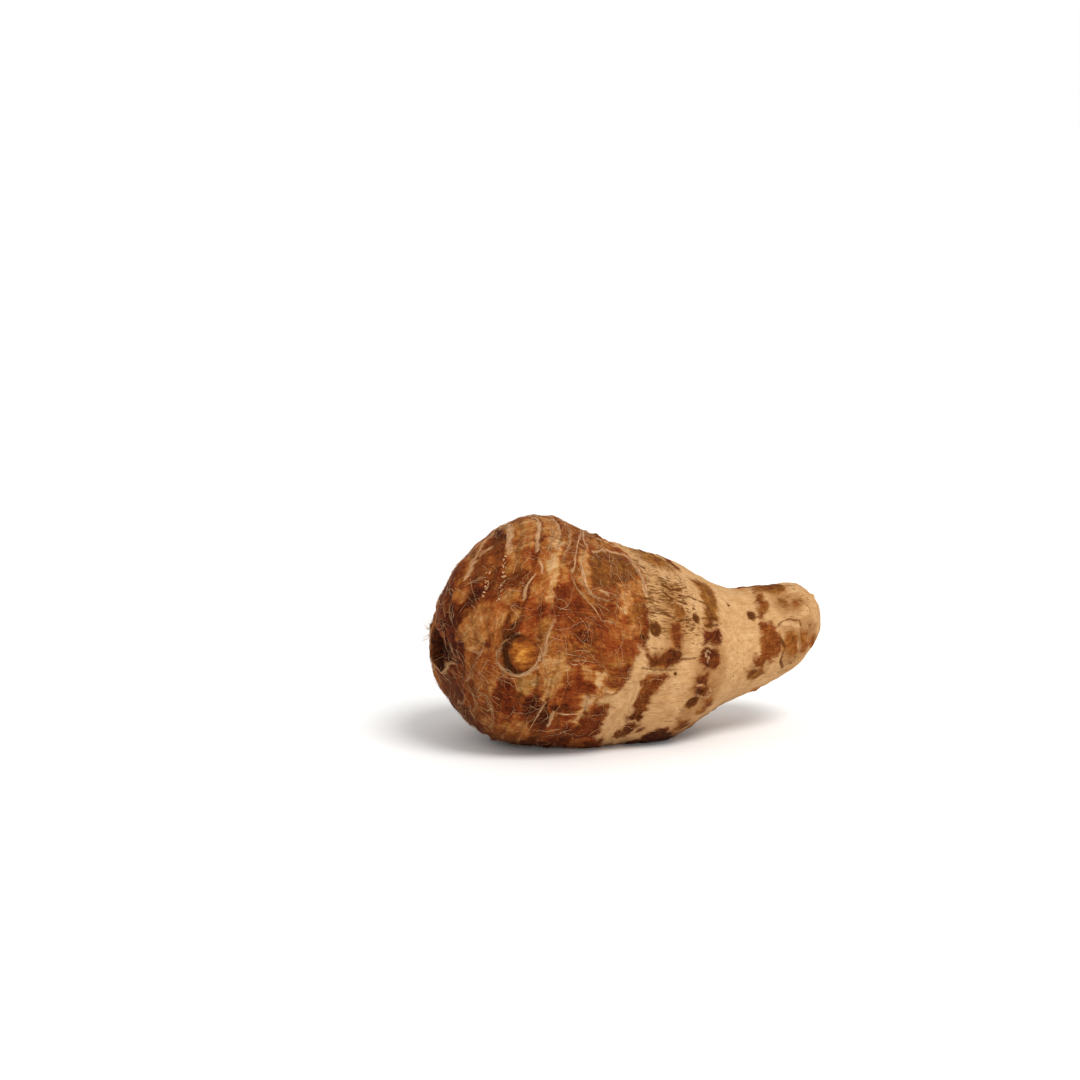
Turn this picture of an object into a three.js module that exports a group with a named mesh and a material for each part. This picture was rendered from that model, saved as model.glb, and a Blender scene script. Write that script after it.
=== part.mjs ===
import * as THREE from "three"

// A taro cormel, the pear-shaped side root of a taro plant, grown as one solid piece.
// Millimetres. +X runs from the crown to the broken neck, -Y is the side with the large bud, +Z is up.
// A place on the skin is given by its distance along the root from the crown and by its turn in
// degrees round the root: 0 is the top, 90 the bud side, 180 the underside.

// Driving dimensions
const LENGTH = 101.5
const CROWN_RADIUS = 28.2
const TIP_RADIUS = 11.5
const PIT_DEPTH = 3.2
const PIT_RADIUS = 5.6
const LIP_RISE = 0.5
const FLOOR_BLEND = 0.8

// The taper from the widest ring to the round tip, as radii at even steps along the root
const TAPER = [28.2, 27.3, 25.0, 23.6, 21.7, 17.9, 14.0, 12.4, 11.5]

// The axis bends: its sideways shift and its height over the floor, at even steps from crown to tip
const AXIS_SIDE = [0, 0, 0, -0.2, -0.7, -1.3, -1.5, -0.8, 0]
const AXIS_HEIGHT = [24.9, 26.3, 27.1, 24.6, 22.4, 22.0, 21.8, 23.8, 26.0]

// Leaf scars ring the root. They lean along it, by cosine and sine terms of the turn, at the same steps.
const LEAN_COS = [0, 0, -0.4, -1.3, 1.0, -1.7, -0.9, 0, 0]
const LEAN_SIN = [0, 0.2, 0.6, 1.2, -0.4, 0.9, 0.8, 0.2, 0]
const LEAN_COS_2 = [0, 0, -0.4, -1.3, -0.9, -1.2, -0.9, -0.2, 0]
const LEAN_SIN_2 = [0, 0.3, 1.1, 1.6, 2.3, 1.2, 0.7, 0.1, 0]

// Over the top of the crown half they lean further towards the neck, by the cosine cubed
const LEAN_TOP = [0, 12.5, 13.0, 7.5, 2.5, 0, 0, 0, 0]

// Leaf scar rings on the brown crown half and on the paler neck, by distance from the crown
const CROWN_RINGS = [3.6, 5.9, 8.4, 11.2, 14.2, 18.0, 21.8, 25.6, 30.0, 34.0, 38.1, 42.4]
const NECK_RINGS = [46.8, 52.6, 62.4, 70.5, 81.0, 88.6]
const CROWN_RIDGE = 0.8
const NECK_RIDGE = 0.4
const RIDGE_FRONT = 0.6
const RIDGE_BACK = 1.2
const INTERNODE_SWELL = 0.4

// Buds, swellings and hollows: place along, turn, height, half length and half width
const LUMPS = [
  { along: 13.6, turn: 88, rise: 2.2, length: 2.7, width: 3.3 },
  { along: 10.0, turn: 91, rise: -1.6, length: 1.5, width: 3.2 },
  { along: 28.5, turn: 78, rise: 1.3, length: 4.4, width: 5.0 },
  { along: 17.5, turn: 262, rise: 1.7, length: 3.0, width: 3.4 },
  { along: 32.0, turn: 288, rise: 1.6, length: 3.4, width: 3.6 },
  { along: 37.0, turn: 212, rise: 1.3, length: 3.2, width: 3.6 },
  { along: 7.0, turn: 66, rise: 1.0, length: 4.2, width: 7.0 },
  { along: 2.6, turn: 20, rise: 1.3, length: 2.4, width: 11.0 },
  { along: 3.5, turn: 150, rise: -2.2, length: 5.0, width: 12.0 },
  { along: 24.0, turn: 250, rise: 1.4, length: 11.0, width: 13.0 },
  { along: 31.0, turn: 330, rise: 0.8, length: 8.0, width: 9.0 },
  { along: 52.0, turn: 300, rise: 0.9, length: 9.0, width: 9.0 },
  { along: 67.0, turn: 238, rise: -0.9, length: 8.0, width: 9.0 },
  { along: 88.0, turn: 20, rise: 0.5, length: 5.0, width: 4.0 },
  { along: 96.0, turn: 150, rise: -1.7, length: 7.0, width: 8.0 },
  { along: 95.5, turn: 96, rise: -1.5, length: 5.0, width: 6.0 },
  { along: 83.5, turn: 100, rise: 0.5, length: 2.4, width: 6.0 },
  { along: 30.0, turn: 182, rise: -1.2, length: 14.0, width: 18.0 },
  { along: 57.0, turn: 168, rise: 0.9, length: 7.0, width: 11.0 },
  { along: 5.5, turn: 350, rise: -0.5, length: 4.0, width: 14.0 },
  { along: 39.0, turn: 352, rise: 0.6, length: 10.0, width: 14.0 },
  { along: 18.5, turn: 5, rise: 0.8, length: 3.5, width: 14.0 },
]

// Mesh density
const COLUMNS = 64
const ROW_STEP = 2.2
const CROWN_ROW_RADII = [0, 2.2, 4.0, 5.0, 6.0, 7.4, 9.2, 11.4]
const TIP_ROWS = 8

const RINGS = [...CROWN_RINGS, ...NECK_RINGS]
const TIP_START = LENGTH - TIP_RADIUS
const { clamp, degToRad, euclideanModulo, radToDeg, smoothstep } = THREE.MathUtils

// A smooth curve through values at even steps, read at a share from 0 to 1
function follow(values, share) {
  const last = values.length - 1
  const place = clamp(share, 0, 1) * last
  const i = Math.min(Math.floor(place), last - 1)
  const t = place - i
  const [a, b, c, d] = [values[Math.max(i - 1, 0)], values[i], values[i + 1], values[Math.min(i + 2, last)]]
  return b + 0.5 * t * (c - a + t * (2 * a - 5 * b + 4 * c - d + t * (3 * (b - c) + d - a)))
}

// Radius of the smooth body: a ball at the crown, a long taper, a smaller ball at the tip
function bodyRadius(along) {
  if (along < CROWN_RADIUS) {
    return Math.sqrt(Math.max(along * (2 * CROWN_RADIUS - along), 0))
  }
  if (along > TIP_START) {
    const left = LENGTH - along
    return Math.sqrt(Math.max(left * (2 * TIP_RADIUS - left), 0))
  }
  return follow(TAPER, (along - CROWN_RADIUS) / (TIP_START - CROWN_RADIUS))
}

// The crown's end is a ball with a ragged pit where the leaf stalks grew, and a lip round it
function crownDepth(radius) {
  const ball = CROWN_RADIUS - Math.sqrt(CROWN_RADIUS ** 2 - radius ** 2)
  const pit = PIT_DEPTH * (1 - smoothstep(radius, 0.45 * PIT_RADIUS, PIT_RADIUS))
  const lip = LIP_RISE * Math.exp(-(((radius - 1.12 * PIT_RADIUS) / 1.1) ** 2))
  return ball + pit - lip
}

// Mesh rows from the pit to the tip, with a row on the foot and the crest of every ring
function profile() {
  const crown = CROWN_ROW_RADII.map((radius) => new THREE.Vector2(radius, crownDepth(radius)))
  const stations = []
  for (const [i, ring] of RINGS.entries()) {
    stations.push(ring - RIDGE_FRONT, ring, ring + RIDGE_BACK)
    const start = ring + RIDGE_BACK
    const end = i + 1 < RINGS.length ? RINGS[i + 1] - RIDGE_FRONT : start
    const steps = Math.ceil((end - start) / ROW_STEP)
    for (let step = 1; step < steps; step++) {
      stations.push(start + ((end - start) * step) / steps)
    }
  }
  const body = stations.map((along) => new THREE.Vector2(bodyRadius(along), along))
  const tip = []
  for (let row = 1; row <= TIP_ROWS; row++) {
    const angle = (Math.PI / 2) * (row / TIP_ROWS)
    const radius = row === TIP_ROWS ? 0 : TIP_RADIUS * Math.cos(angle)
    tip.push(new THREE.Vector2(radius, TIP_START + TIP_RADIUS * Math.sin(angle)))
  }
  return [...crown, ...body, ...tip]
}

// How far the rings are shifted along the root at one turn
function ringLean(along, angle) {
  const share = along / LENGTH
  const tilt = follow(LEAN_COS, share) * Math.cos(angle) + follow(LEAN_SIN, share) * Math.sin(angle)
  const fold = follow(LEAN_COS_2, share) * Math.cos(2 * angle) + follow(LEAN_SIN_2, share) * Math.sin(2 * angle)
  const waver = 0.45 * Math.sin(5 * angle + 0.3 * along) + 0.3 * Math.sin(8 * angle - 0.5 * along)
  const top = follow(LEAN_TOP, share) * Math.max(Math.cos(angle), 0) ** 3
  return tilt + fold + top + waver
}

// Ridges on the leaf scars, uneven round the root, with the skin between them a little swollen
function ringRelief(along, angle) {
  let rise = 0
  for (const [i, ring] of RINGS.entries()) {
    const reach = along < ring ? (ring - along) / RIDGE_FRONT : (along - ring) / RIDGE_BACK
    const height = i < CROWN_RINGS.length ? CROWN_RIDGE : NECK_RIDGE
    const uneven = 0.75 + 0.2 * Math.sin(3 * angle + 1.7 * i) + 0.15 * Math.sin(7 * angle + 2.9 * i)
    rise += height * uneven * Math.max(1 - reach, 0)
    const next = RINGS[i + 1] ?? LENGTH
    if (along > ring && along < next) {
      rise += INTERNODE_SWELL * Math.sin((Math.PI * (along - ring)) / (next - ring))
    }
  }
  return rise
}

function lumpRelief(along, turn, radius) {
  let rise = 0
  for (const lump of LUMPS) {
    const lengthwise = (along - lump.along) / lump.length
    const apart = euclideanModulo(turn - lump.turn + 180, 360) - 180
    const sideways = (degToRad(apart) * radius) / lump.width
    rise += lump.rise * Math.exp(-(lengthwise ** 2) - sideways ** 2)
  }
  return rise
}

// Broad unevenness that keeps the root from being round
function waviness(along, angle) {
  return (
    0.35 * Math.sin(2 * angle - 0.6 + 0.05 * along) +
    0.3 * Math.sin(3 * angle + 1.1 - 0.07 * along) +
    0.2 * Math.sin(5 * angle + 0.16 * along)
  )
}

// Flattens what would sink below the floor, with a short round blend at the edge
function rest(height) {
  const blend = Math.max(FLOOR_BLEND - Math.abs(height), 0) / FLOOR_BLEND
  return Math.max(height, 0) + (blend ** 2 * FLOOR_BLEND) / 4
}

// Grows the turned profile into the root: relief along the normal, leaning rings, bent axis, flat underside
function grow(geometry) {
  const position = geometry.attributes.position
  const normal = geometry.attributes.normal
  const point = new THREE.Vector3()
  const outward = new THREE.Vector3()
  for (let i = 0; i < position.count; i++) {
    point.fromBufferAttribute(position, i)
    outward.fromBufferAttribute(normal, i)
    const along = point.y
    const girth = Math.hypot(point.x, point.z)
    const angle = Math.atan2(point.x, point.z)
    const off = smoothstep(girth, 0, 9)
    const lean = ringLean(along, angle) * smoothstep(girth, 7, 18)
    const rise = ringRelief(along, angle) + lumpRelief(along, radToDeg(angle), girth) + waviness(along, angle)
    point.addScaledVector(outward, rise * off)
    const leant = along + lean
    const scale = lean === 0 ? 1 : bodyRadius(leant) / bodyRadius(along)
    const x = point.y + lean
    const y = follow(AXIS_SIDE, leant / LENGTH) - point.x * scale
    const z = follow(AXIS_HEIGHT, leant / LENGTH) + point.z * scale
    position.setXYZ(i, x, y, rest(z))
  }
  geometry.computeVertexNormals()
  return geometry
}

const skin = new THREE.MeshStandardMaterial({ color: 0x8a5a30, roughness: 0.85, metalness: 0 })
const corm = new THREE.Mesh(grow(new THREE.LatheGeometry(profile(), COLUMNS)), skin)
corm.name = "corm"
corm.position.x = -LENGTH / 2

const root = new THREE.Group()
root.add(corm)

export default root
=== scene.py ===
from math import pi, radians

import bpy
import numpy as np
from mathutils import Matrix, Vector


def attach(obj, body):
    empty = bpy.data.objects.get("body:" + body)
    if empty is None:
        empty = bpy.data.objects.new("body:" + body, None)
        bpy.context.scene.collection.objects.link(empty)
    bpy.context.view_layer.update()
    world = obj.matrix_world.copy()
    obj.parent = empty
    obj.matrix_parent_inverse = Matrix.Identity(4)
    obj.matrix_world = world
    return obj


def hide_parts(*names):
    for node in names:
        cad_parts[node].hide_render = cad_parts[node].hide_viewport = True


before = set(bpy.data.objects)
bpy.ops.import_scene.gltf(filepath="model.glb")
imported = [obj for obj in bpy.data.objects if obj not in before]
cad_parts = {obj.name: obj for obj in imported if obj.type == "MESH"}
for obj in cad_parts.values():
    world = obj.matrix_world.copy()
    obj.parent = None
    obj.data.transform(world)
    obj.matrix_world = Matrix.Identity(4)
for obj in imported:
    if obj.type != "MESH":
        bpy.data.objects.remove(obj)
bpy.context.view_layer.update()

bl_info = {
    "name": "Taro Cormel",
    "version": (1, 1, 0),
    "blender": (4, 5, 0),
    "location": "3D View > Sidebar > Taro",
    "description": "Builds a taro cormel with its ringed skin, buds, root scars, torn fibres and hairs",
    "category": "Add Mesh",
}

# A place on the skin is its distance along the root from the crown, in millimetres, and its turn in
# degrees round the root: 0 is the top, 90 the side of the large bud, 180 the underside.

MM = 0.001
SEED = 7

# The grid of the skin: rows from the pit to the tip, columns round the root, and the fine steps along
# the caps and the body that the rows are spaced by
ROWS = 252
COLUMNS = 384
CAP_STEPS = 400
BODY_STEPS = 2000

# The root's own form, in millimetres, as its solid has it
LENGTH = 101.5
CROWN_RADIUS = 28.2
TIP_RADIUS = 11.5
TIP_START = LENGTH - TIP_RADIUS
CAP_RADIUS = 14.0
PIT_DEPTH = 3.2
PIT_RADIUS = 5.6
LIP_RISE = 0.5
LIP_WIDTH = 1.1
FLOOR_BLEND = 0.8
TAPER = (28.2, 27.3, 25.0, 23.6, 21.7, 17.9, 14.0, 12.4, 11.5)
AXIS_SIDE = (0, 0, 0, -0.2, -0.7, -1.3, -1.5, -0.8, 0)
AXIS_HEIGHT = (24.9, 26.3, 27.1, 24.6, 22.4, 22.0, 21.8, 23.8, 26.0)
LEAN_COS = (0, 0, -0.4, -1.3, 1.0, -1.7, -0.9, 0, 0)
LEAN_SIN = (0, 0.2, 0.6, 1.2, -0.4, 0.9, 0.8, 0.2, 0)
LEAN_COS_2 = (0, 0, -0.4, -1.3, -0.9, -1.2, -0.9, -0.2, 0)
LEAN_SIN_2 = (0, 0.3, 1.1, 1.6, 2.3, 1.2, 0.7, 0.1, 0)
LEAN_TOP = (0, 12.5, 13.0, 7.5, 2.5, 0, 0, 0, 0)
CROWN_RINGS = (3.6, 5.9, 8.4, 11.2, 14.2, 18.0, 21.8, 25.6, 30.0, 34.0, 38.1, 42.4)
NECK_RINGS = (46.8, 52.6, 62.4, 70.5, 81.0, 88.6)
RINGS = CROWN_RINGS + NECK_RINGS
CROWN_RIDGE = 0.8
NECK_RIDGE = 0.4
RIDGE_FRONT = 0.6
RIDGE_BACK = 1.2
INTERNODE_SWELL = 0.4

# Buds, swellings and hollows: place along, turn, height, half length and half width
LUMPS = (
    (13.6, 88, 2.2, 2.7, 3.3),
    (10.0, 91, -1.6, 1.5, 3.2),
    (28.5, 78, 1.3, 4.4, 5.0),
    (17.5, 262, 1.7, 3.0, 3.4),
    (32.0, 288, 1.6, 3.4, 3.6),
    (37.0, 212, 1.3, 3.2, 3.6),
    (7.0, 66, 1.0, 4.2, 7.0),
    (2.6, 20, 1.3, 2.4, 11.0),
    (3.5, 150, -2.2, 5.0, 12.0),
    (24.0, 250, 1.4, 11.0, 13.0),
    (31.0, 330, 0.8, 8.0, 9.0),
    (52.0, 300, 0.9, 9.0, 9.0),
    (67.0, 238, -0.9, 8.0, 9.0),
    (88.0, 20, 0.5, 5.0, 4.0),
    (96.0, 150, -1.7, 7.0, 8.0),
    (95.5, 96, -1.5, 5.0, 6.0),
    (83.5, 100, 0.5, 2.4, 6.0),
    (30.0, 182, -1.2, 14.0, 18.0),
    (57.0, 168, 0.9, 7.0, 11.0),
    (5.5, 350, -0.5, 4.0, 14.0),
    (39.0, 352, 0.6, 10.0, 14.0),
    (18.5, 5, 0.8, 3.5, 14.0),
)

# Where the brown outer skin ends and the bare neck begins, at even steps of turn
SKIN_EDGE = (38, 40, 43, 44, 44, 42.8, 41.5, 40.5, 38, 36.5, 38, 40,
             41, 42.5, 42, 40, 38, 37.5, 39, 41, 43, 42, 39, 37.5)

# Patches of brown skin on the crown half: tone (0 purple black, 1 tan), hue (0 red, 1 olive), outline
SKIN_PATCHES = (
    (0.24, 0.1, (0.3, 20), (2.6, 28), (3.4, 40), (4, 56), (3.6, 84), (3.2, 100), (0.3, 104)),
    (0.02, 0, (0.2, 58), (0.8, 60), (1.3, 70), (1.6, 84), (1.4, 98), (0.9, 108), (0.2, 112)),
    (0.42, 0.2, (1, 335), (4.5, 350), (4.6, 12), (3.6, 26), (2.2, 36), (0.8, 20)),
    (0.48, 0.35, (2.7, 147), (9.5, 114), (10.1, 130), (6.3, 146)),
    (0.58, 0.3, (3.6, 86), (8.5, 80), (9, 98), (8.5, 112), (3.4, 112)),
    (0.58, 0.4, (5.3, 27.5), (7, 21), (8.5, 27.5), (8.3, 33.5), (7, 32), (5.9, 35)),
    (0.25, 0.4, (7.3, 350), (8.6, 350), (9.3, 12), (9.5, 19.5), (7.7, 13.5), (7.3, 0)),
    (0.92, 0.7, (8.7, 350), (9.7, 350), (9.9, 8), (9.7, 17.5), (9.2, 13), (8.7, 6.5)),
    (0.9, 0.5, (8.5, 20.5), (9.2, 20.5), (9.7, 22.5), (9.7, 28), (9, 27.5)),
    (0.8, 0.4, (9.9, 0), (13, 0), (13.1, 33), (10.1, 27.5)),
    (0.68, 0.35, (9.4, 28.5), (13.3, 35), (14.3, 47.5), (9, 40.5)),
    (0.73, 0.5, (9, 48.5), (12.1, 51.5), (13.1, 60.5), (11.3, 60.5), (8.9, 55)),
    (0.42, 0.1, (6.3, 38), (7.7, 43), (8.3, 52), (7.3, 52), (6.3, 45)),
    (0.36, 0, (4.7, 32), (5.9, 38), (6.3, 49), (5.1, 42.5)),
    (0.15, 0, (5.8, 37.5), (6.5, 43.5), (5.8, 47), (4.6, 49.5), (3.9, 56), (2.4, 52.5), (2.7, 42.5),
     (3.4, 39.5), (4.9, 41.5), (5.4, 37.5)),
    (0.82, 0.4, (2.8, 28), (3.4, 28.5), (4.2, 30.5), (4.7, 33.5), (4.7, 37), (4.2, 41), (3.3, 36)),
    (0.76, 0.3, (5.8, 49.5), (7.5, 52), (10.2, 58.5), (11.1, 63.5), (11.1, 71.5), (8.2, 74), (6.8, 79.5),
     (5.3, 85), (3.6, 82), (2.1, 72.5), (2.4, 60), (4.3, 56.5)),
    (0.8, 0.25, (4.3, 57), (6.3, 58), (7.3, 65.5), (6.3, 72), (4.3, 74.5), (3.3, 65)),
    (0.45, 0.1, (13.8, 64.5), (16.2, 63.5), (16.8, 73.5), (14.5, 72)),
    (0.2, 0.5, (10.9, 63.5), (12.5, 67.5), (13.7, 71.5), (13.5, 77.5), (11.9, 79), (11.3, 74.5),
     (12.1, 71)),
    (0.78, 0.8, (11.6, 63), (13.1, 64), (13.7, 69), (12.5, 68)),
    (0.75, 0.5, (13.5, 0), (16.6, 0), (16.4, 27.5), (13.7, 25.5)),
    (0.9, 0.6, (14.9, 27.5), (16.8, 28.5), (19.5, 31.5), (18.5, 37), (19.7, 45.5), (20.7, 55), (20.7, 63),
     (20.4, 64.5), (18.1, 62), (18.5, 53), (16.9, 47.5), (16.2, 41.5), (16.8, 37), (14.5, 31.5)),
    (0.45, 0.8, (14.7, 31.5), (16.1, 32), (16.6, 36.5), (15, 35.5)),
    (0.72, 0.3, (15.2, 53.5), (17.4, 54.5), (18.5, 64), (16.2, 63)),
    (0.58, 0.4, (17.4, 0), (21.6, 0), (21.7, 30), (17.1, 29.5)),
    (0.45, 0.3, (18.3, 35), (22.2, 31.5), (23.4, 41.5), (19.7, 42.5)),
    (0.75, 0.4, (20, 44.5), (21.7, 43.5), (23.1, 54), (21.2, 54.5)),
    (0.32, 0.1, (20.5, 54.5), (22.8, 55.5), (23.6, 62.5), (22.8, 64.5), (21, 63.5)),
    (0.66, 0.5, (30, 350), (33.6, 8), (37.7, 14), (34.4, 24.5), (25.7, 30.5), (23.8, 22), (24, 350)),
    (0.88, 0.5, (23.6, 33.5), (25.7, 30.5), (27.4, 44.5), (27.6, 58), (26.4, 58.5), (24.3, 54.5),
     (24.8, 48), (23.4, 41.5)),
    (0.5, 0.8, (23.3, 45), (24.6, 44.5), (24.8, 51.5), (23.6, 52)),
    (0.45, 0.8, (26.7, 31), (36.1, 24), (40.3, 29), (42, 35.5), (41.5, 42), (38.2, 44), (33.7, 49),
     (31.8, 53.5), (28.1, 56)),
    (0.46, 0.4, (27.6, 59), (34.1, 55.5), (35.8, 61), (36.1, 68), (29.8, 71.5), (27.9, 69)),
    (0.55, 0.75, (39.7, 56.5), (43.7, 53), (42.1, 68), (38.4, 70), (38, 64.5)),
    (0.88, 0.45, (33.7, 49.5), (36.5, 46), (41.1, 42), (40.6, 47.5), (39.4, 53), (40.1, 55), (38.2, 61),
     (37.5, 65.5), (36.5, 69.5), (36.3, 64), (36.8, 57), (34.8, 53.5)),
    (0.7, 0.5, (40.2, 42), (43.4, 41), (44, 54), (42, 56), (40.2, 52)),
    (0.36, 0.15, (20.5, 64.5), (23.8, 64), (27.6, 65), (27.7, 71), (24.1, 72), (20.5, 70.5)),
    (0.3, 0, (16.2, 64), (19.4, 64.5), (19.5, 72), (17, 72)),
    (0.62, 0.8, (17.2, 72), (19.5, 70), (20.2, 78), (19.2, 90), (17.2, 92)),
    (0.47, 0.15, (23.3, 69), (30, 67), (34.2, 72), (33.6, 80), (28.6, 86), (23.1, 82)),
    (0.53, 0.15, (30.5, 74), (40.4, 77), (41, 88), (37.9, 92), (31.5, 88), (28.9, 84)),
    (0.82, 0.35, (35.8, 72), (40.9, 69), (41.3, 77), (36.5, 79)),
    (0.68, 0.75, (32.5, 90), (38.5, 87), (39, 91), (36, 93), (33, 95)),
    (0.45, 0.25, (33.9, 93.5), (36.7, 92), (37.9, 87), (37.9, 93), (37.2, 97.5), (36.8, 100), (36.5, 103),
     (35.1, 103), (33.9, 100), (33, 99), (33, 96)),
    (0.86, 0.35, (31.7, 110.5), (32.4, 104.5), (34.1, 104), (35.3, 103.5), (34.6, 108.5)),
    (0.97, 0.55, (30.8, 97), (32.9, 96), (32.9, 101.5), (32, 104.5), (31.7, 110.5), (31.2, 109.5),
     (30.8, 105), (30.6, 100)),
    (0.85, 0.45, (17.6, 93), (21, 88.5), (23.1, 93), (24, 96.5), (23.3, 100.5), (22.8, 105), (22.4, 109),
     (21.9, 111.5), (20.7, 115.5), (19.2, 112), (19, 106), (18.5, 101), (17.6, 99.5)),
    (0.5, 0.08, (24, 95), (30.3, 93), (31.2, 104.5), (30, 108.5), (28.6, 114.5), (28.2, 120), (26.7, 121.5),
     (22.4, 119.5), (21.7, 115), (22.8, 109), (22.9, 106), (23.8, 100.5)),
    (0.86, 0.3, (27, 95), (30, 94), (30.6, 101), (27.4, 103)),
    (0.16, 0.2, (22.6, 116.5), (26.2, 116), (26.4, 121), (22.6, 120)),
    (0.98, 0.4, (27, 111), (31.2, 108), (31.5, 105), (31.3, 111.5), (30.1, 116), (29.6, 120), (29.1, 130),
     (27.7, 133), (26.9, 129), (27.4, 122.5), (28.4, 118)),
    (0.5, 0, (24.8, 123), (27.2, 122.5), (27.9, 132.5), (25.3, 133)),
    (0.15, 0.1, (19.7, 123.5), (22.4, 123), (22.8, 131.5), (20.5, 132)),
    (0.36, 0.12, (29.4, 121.5), (31.2, 115), (35.1, 115.5), (34.6, 123), (34.2, 128), (35.1, 140),
     (32.7, 141), (29.4, 142)),
    (0.3, 0, (9.7, 105), (11.6, 101), (13.1, 110), (15, 124), (12.1, 130), (8.7, 126)),
    (0.15, 0, (13.9, 112), (18.8, 111), (20, 123), (15.4, 127)),
    (0.8, 0.85, (12.6, 99), (16.8, 98), (17.1, 108), (14.7, 112), (12.8, 110)),
    (0.66, 0.4, (7, 146), (17.8, 127), (20.2, 144), (16.1, 170), (11.1, 160)),
)

# Where the skin of the crown half has come off and the neck's bare under-skin runs on
BARE_PATCHES = (
    ((40.4, 80), (40.4, 84.5), (39.4, 88.5), (38.2, 93.5), (37.5, 98.5), (36.5, 103), (35.4, 106),
     (34.6, 109), (31.8, 111), (31.7, 115), (35.1, 115.5), (34.6, 123), (34.4, 128), (35.8, 137),
     (34.6, 142), (40.3, 142), (42.7, 133.5), (46, 127.5), (46, 118.5), (46, 111), (47, 106), (47, 100.5),
     (47, 94.5), (45.6, 87.5)),
)

# Scraps of brown skin left on the neck: tone, hue, outline
NECK_PATCHES = (
    (0.57, 1, (48.7, 2), (55.9, -1), (58.6, 12), (51.7, 20), (46.3, 16)),
    (0.47, 0.92, (51.1, 53), (54.5, 53.5), (54.1, 59), (52.3, 62), (50.7, 61)),
    (0.31, 0.47, (49.2, 65.5), (52.4, 65), (52.8, 72), (53.6, 80), (51.4, 80), (50.4, 76), (49.5, 70.5)),
    (0.29, 0.57, (42.7, 84), (46.4, 85), (50, 80.5), (53.8, 80.5), (54, 84.5), (53.5, 88.5), (52.1, 91),
     (46.3, 90.5), (43.5, 88.5)),
    (0.41, 0.57, (44.7, 97), (46.4, 95), (50.7, 94.5), (52.3, 96), (51.4, 99), (50.6, 103.5), (49.4, 107),
     (49.2, 111.5), (49, 115), (48.8, 118.5), (48.4, 119), (47.6, 116.5), (45.2, 112.5), (44.2, 106.5),
     (44.9, 103.5), (42.3, 100.5)),
    (0.31, 0.52, (42.8, 115), (44.2, 110.5), (49, 107.5), (49, 113), (49, 118), (48.8, 120.5), (48, 127.5),
     (43.9, 128), (42.8, 126), (44.2, 122), (44.4, 118)),
    (0.37, 0.82, (42.5, 132.5), (43.9, 130), (48.8, 130), (46.6, 135), (45.7, 144), (40.3, 142)),
    (0.1, 0.32, (48, 140), (48.3, 134.5), (50.9, 133.5), (49.9, 137.5)),
    (0.1, 0.32, (48.1, 150), (50.2, 146), (52.3, 138), (55, 136), (58.1, 142), (60, 150), (57.4, 165),
     (50.9, 178), (46, 160)),
    (0.49, 1, (63.6, 22.5), (65, 23.5), (69.2, 18.5), (69.9, 24), (68.9, 36.5), (67.5, 47.5), (66.5, 56.5),
     (65.1, 62.5), (61.5, 66), (61, 63.5), (62.2, 56.5), (63.4, 48.5), (64.4, 41.5), (64.3, 34),
     (63.4, 28.5)),
    (0.28, 0.3, (60.3, 68.5), (64.7, 67), (65, 73.5), (64.4, 79.5), (59.4, 78.5)),
    (0.26, 0.5, (59, 81), (64.1, 81.5), (64.3, 88), (63.2, 96.5), (59.6, 94.5), (58.6, 88)),
    (0.35, 0.57, (58.4, 96), (61, 97.5), (61.7, 107.5), (61.5, 108), (58.4, 105), (58.3, 101)),
    (0.26, 0.42, (58.3, 105.5), (62.4, 108.5), (63.2, 116), (59, 113.5), (58.3, 110)),
    (0.4, 0.55, (61.7, 116.5), (64.1, 118), (65.1, 124), (65, 130.5), (63.6, 128.5)),
    (0.5, 0.62, (62, 126), (63.9, 129), (63.9, 138), (61, 130.5)),
    (0.45, 0.92, (56.9, 136), (57.1, 129.5), (59.6, 133.5), (61.9, 148), (59.3, 142), (58.4, 144.5)),
    (0.47, 0.62, (81.8, 16), (83.3, 21.5), (83.3, 33), (84.2, 40.5), (83.5, 45.5), (82.5, 44), (81.8, 54.5),
     (80.7, 54.5), (80.9, 43.5), (80.7, 28)),
    (0.43, 0.57, (80.7, 57), (83.8, 64), (84, 74.5), (84.7, 83), (85, 92.5), (84.3, 99.5), (81.9, 99.5),
     (82.5, 104), (80.1, 105), (79.2, 111), (74.9, 102.5), (76.8, 94), (78.7, 91), (79.2, 81.5),
     (79.9, 71.5), (80.2, 63.5)),
    (0.45, 1, (73.8, 105), (79.2, 110), (80.6, 117.5), (78.6, 122), (75, 117)),
    (0.4, 1, (87.3, 30.5), (88.6, 31), (89.1, 42.5), (88.6, 45.5), (88.1, 42), (87.3, 33.5)),
    (0.42, 1, (89.7, 27.5), (90.5, 29), (90.5, 33.5), (89.5, 33)),
    (0.48, 0.62, (90.5, 36.5), (92.3, 41.5), (92.3, 48), (91.4, 52), (90.5, 46), (90.5, 42)),
    (0.45, 0.92, (82.3, 0), (83, 345), (90, 356), (91, 12.5), (90, 24), (87.1, 25), (84, 18), (81.8, 15)),
    (0.62, 0.7, (86.2, 79), (88.3, 77.5), (90.8, 84), (91.4, 94.5), (91.2, 108.5), (88.3, 109), (86.2, 99),
     (85.6, 88)),
    (0.6, 0.6, (91.8, 80), (94, 84), (95.4, 97), (95.2, 117), (91.9, 112)),
    (0.56, 0.5, (96, 94.5), (98.2, 108), (99.2, 130.5), (98, 132), (95.9, 117)),
)

# Rows of such scraps on the far side of the neck: place along, width, first and last turn
FAR_ROWS = ((51.0, 4.4, 180, 372), (62.6, 3.6, 150, 376), (81.5, 3.6, 142, 352))

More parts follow.
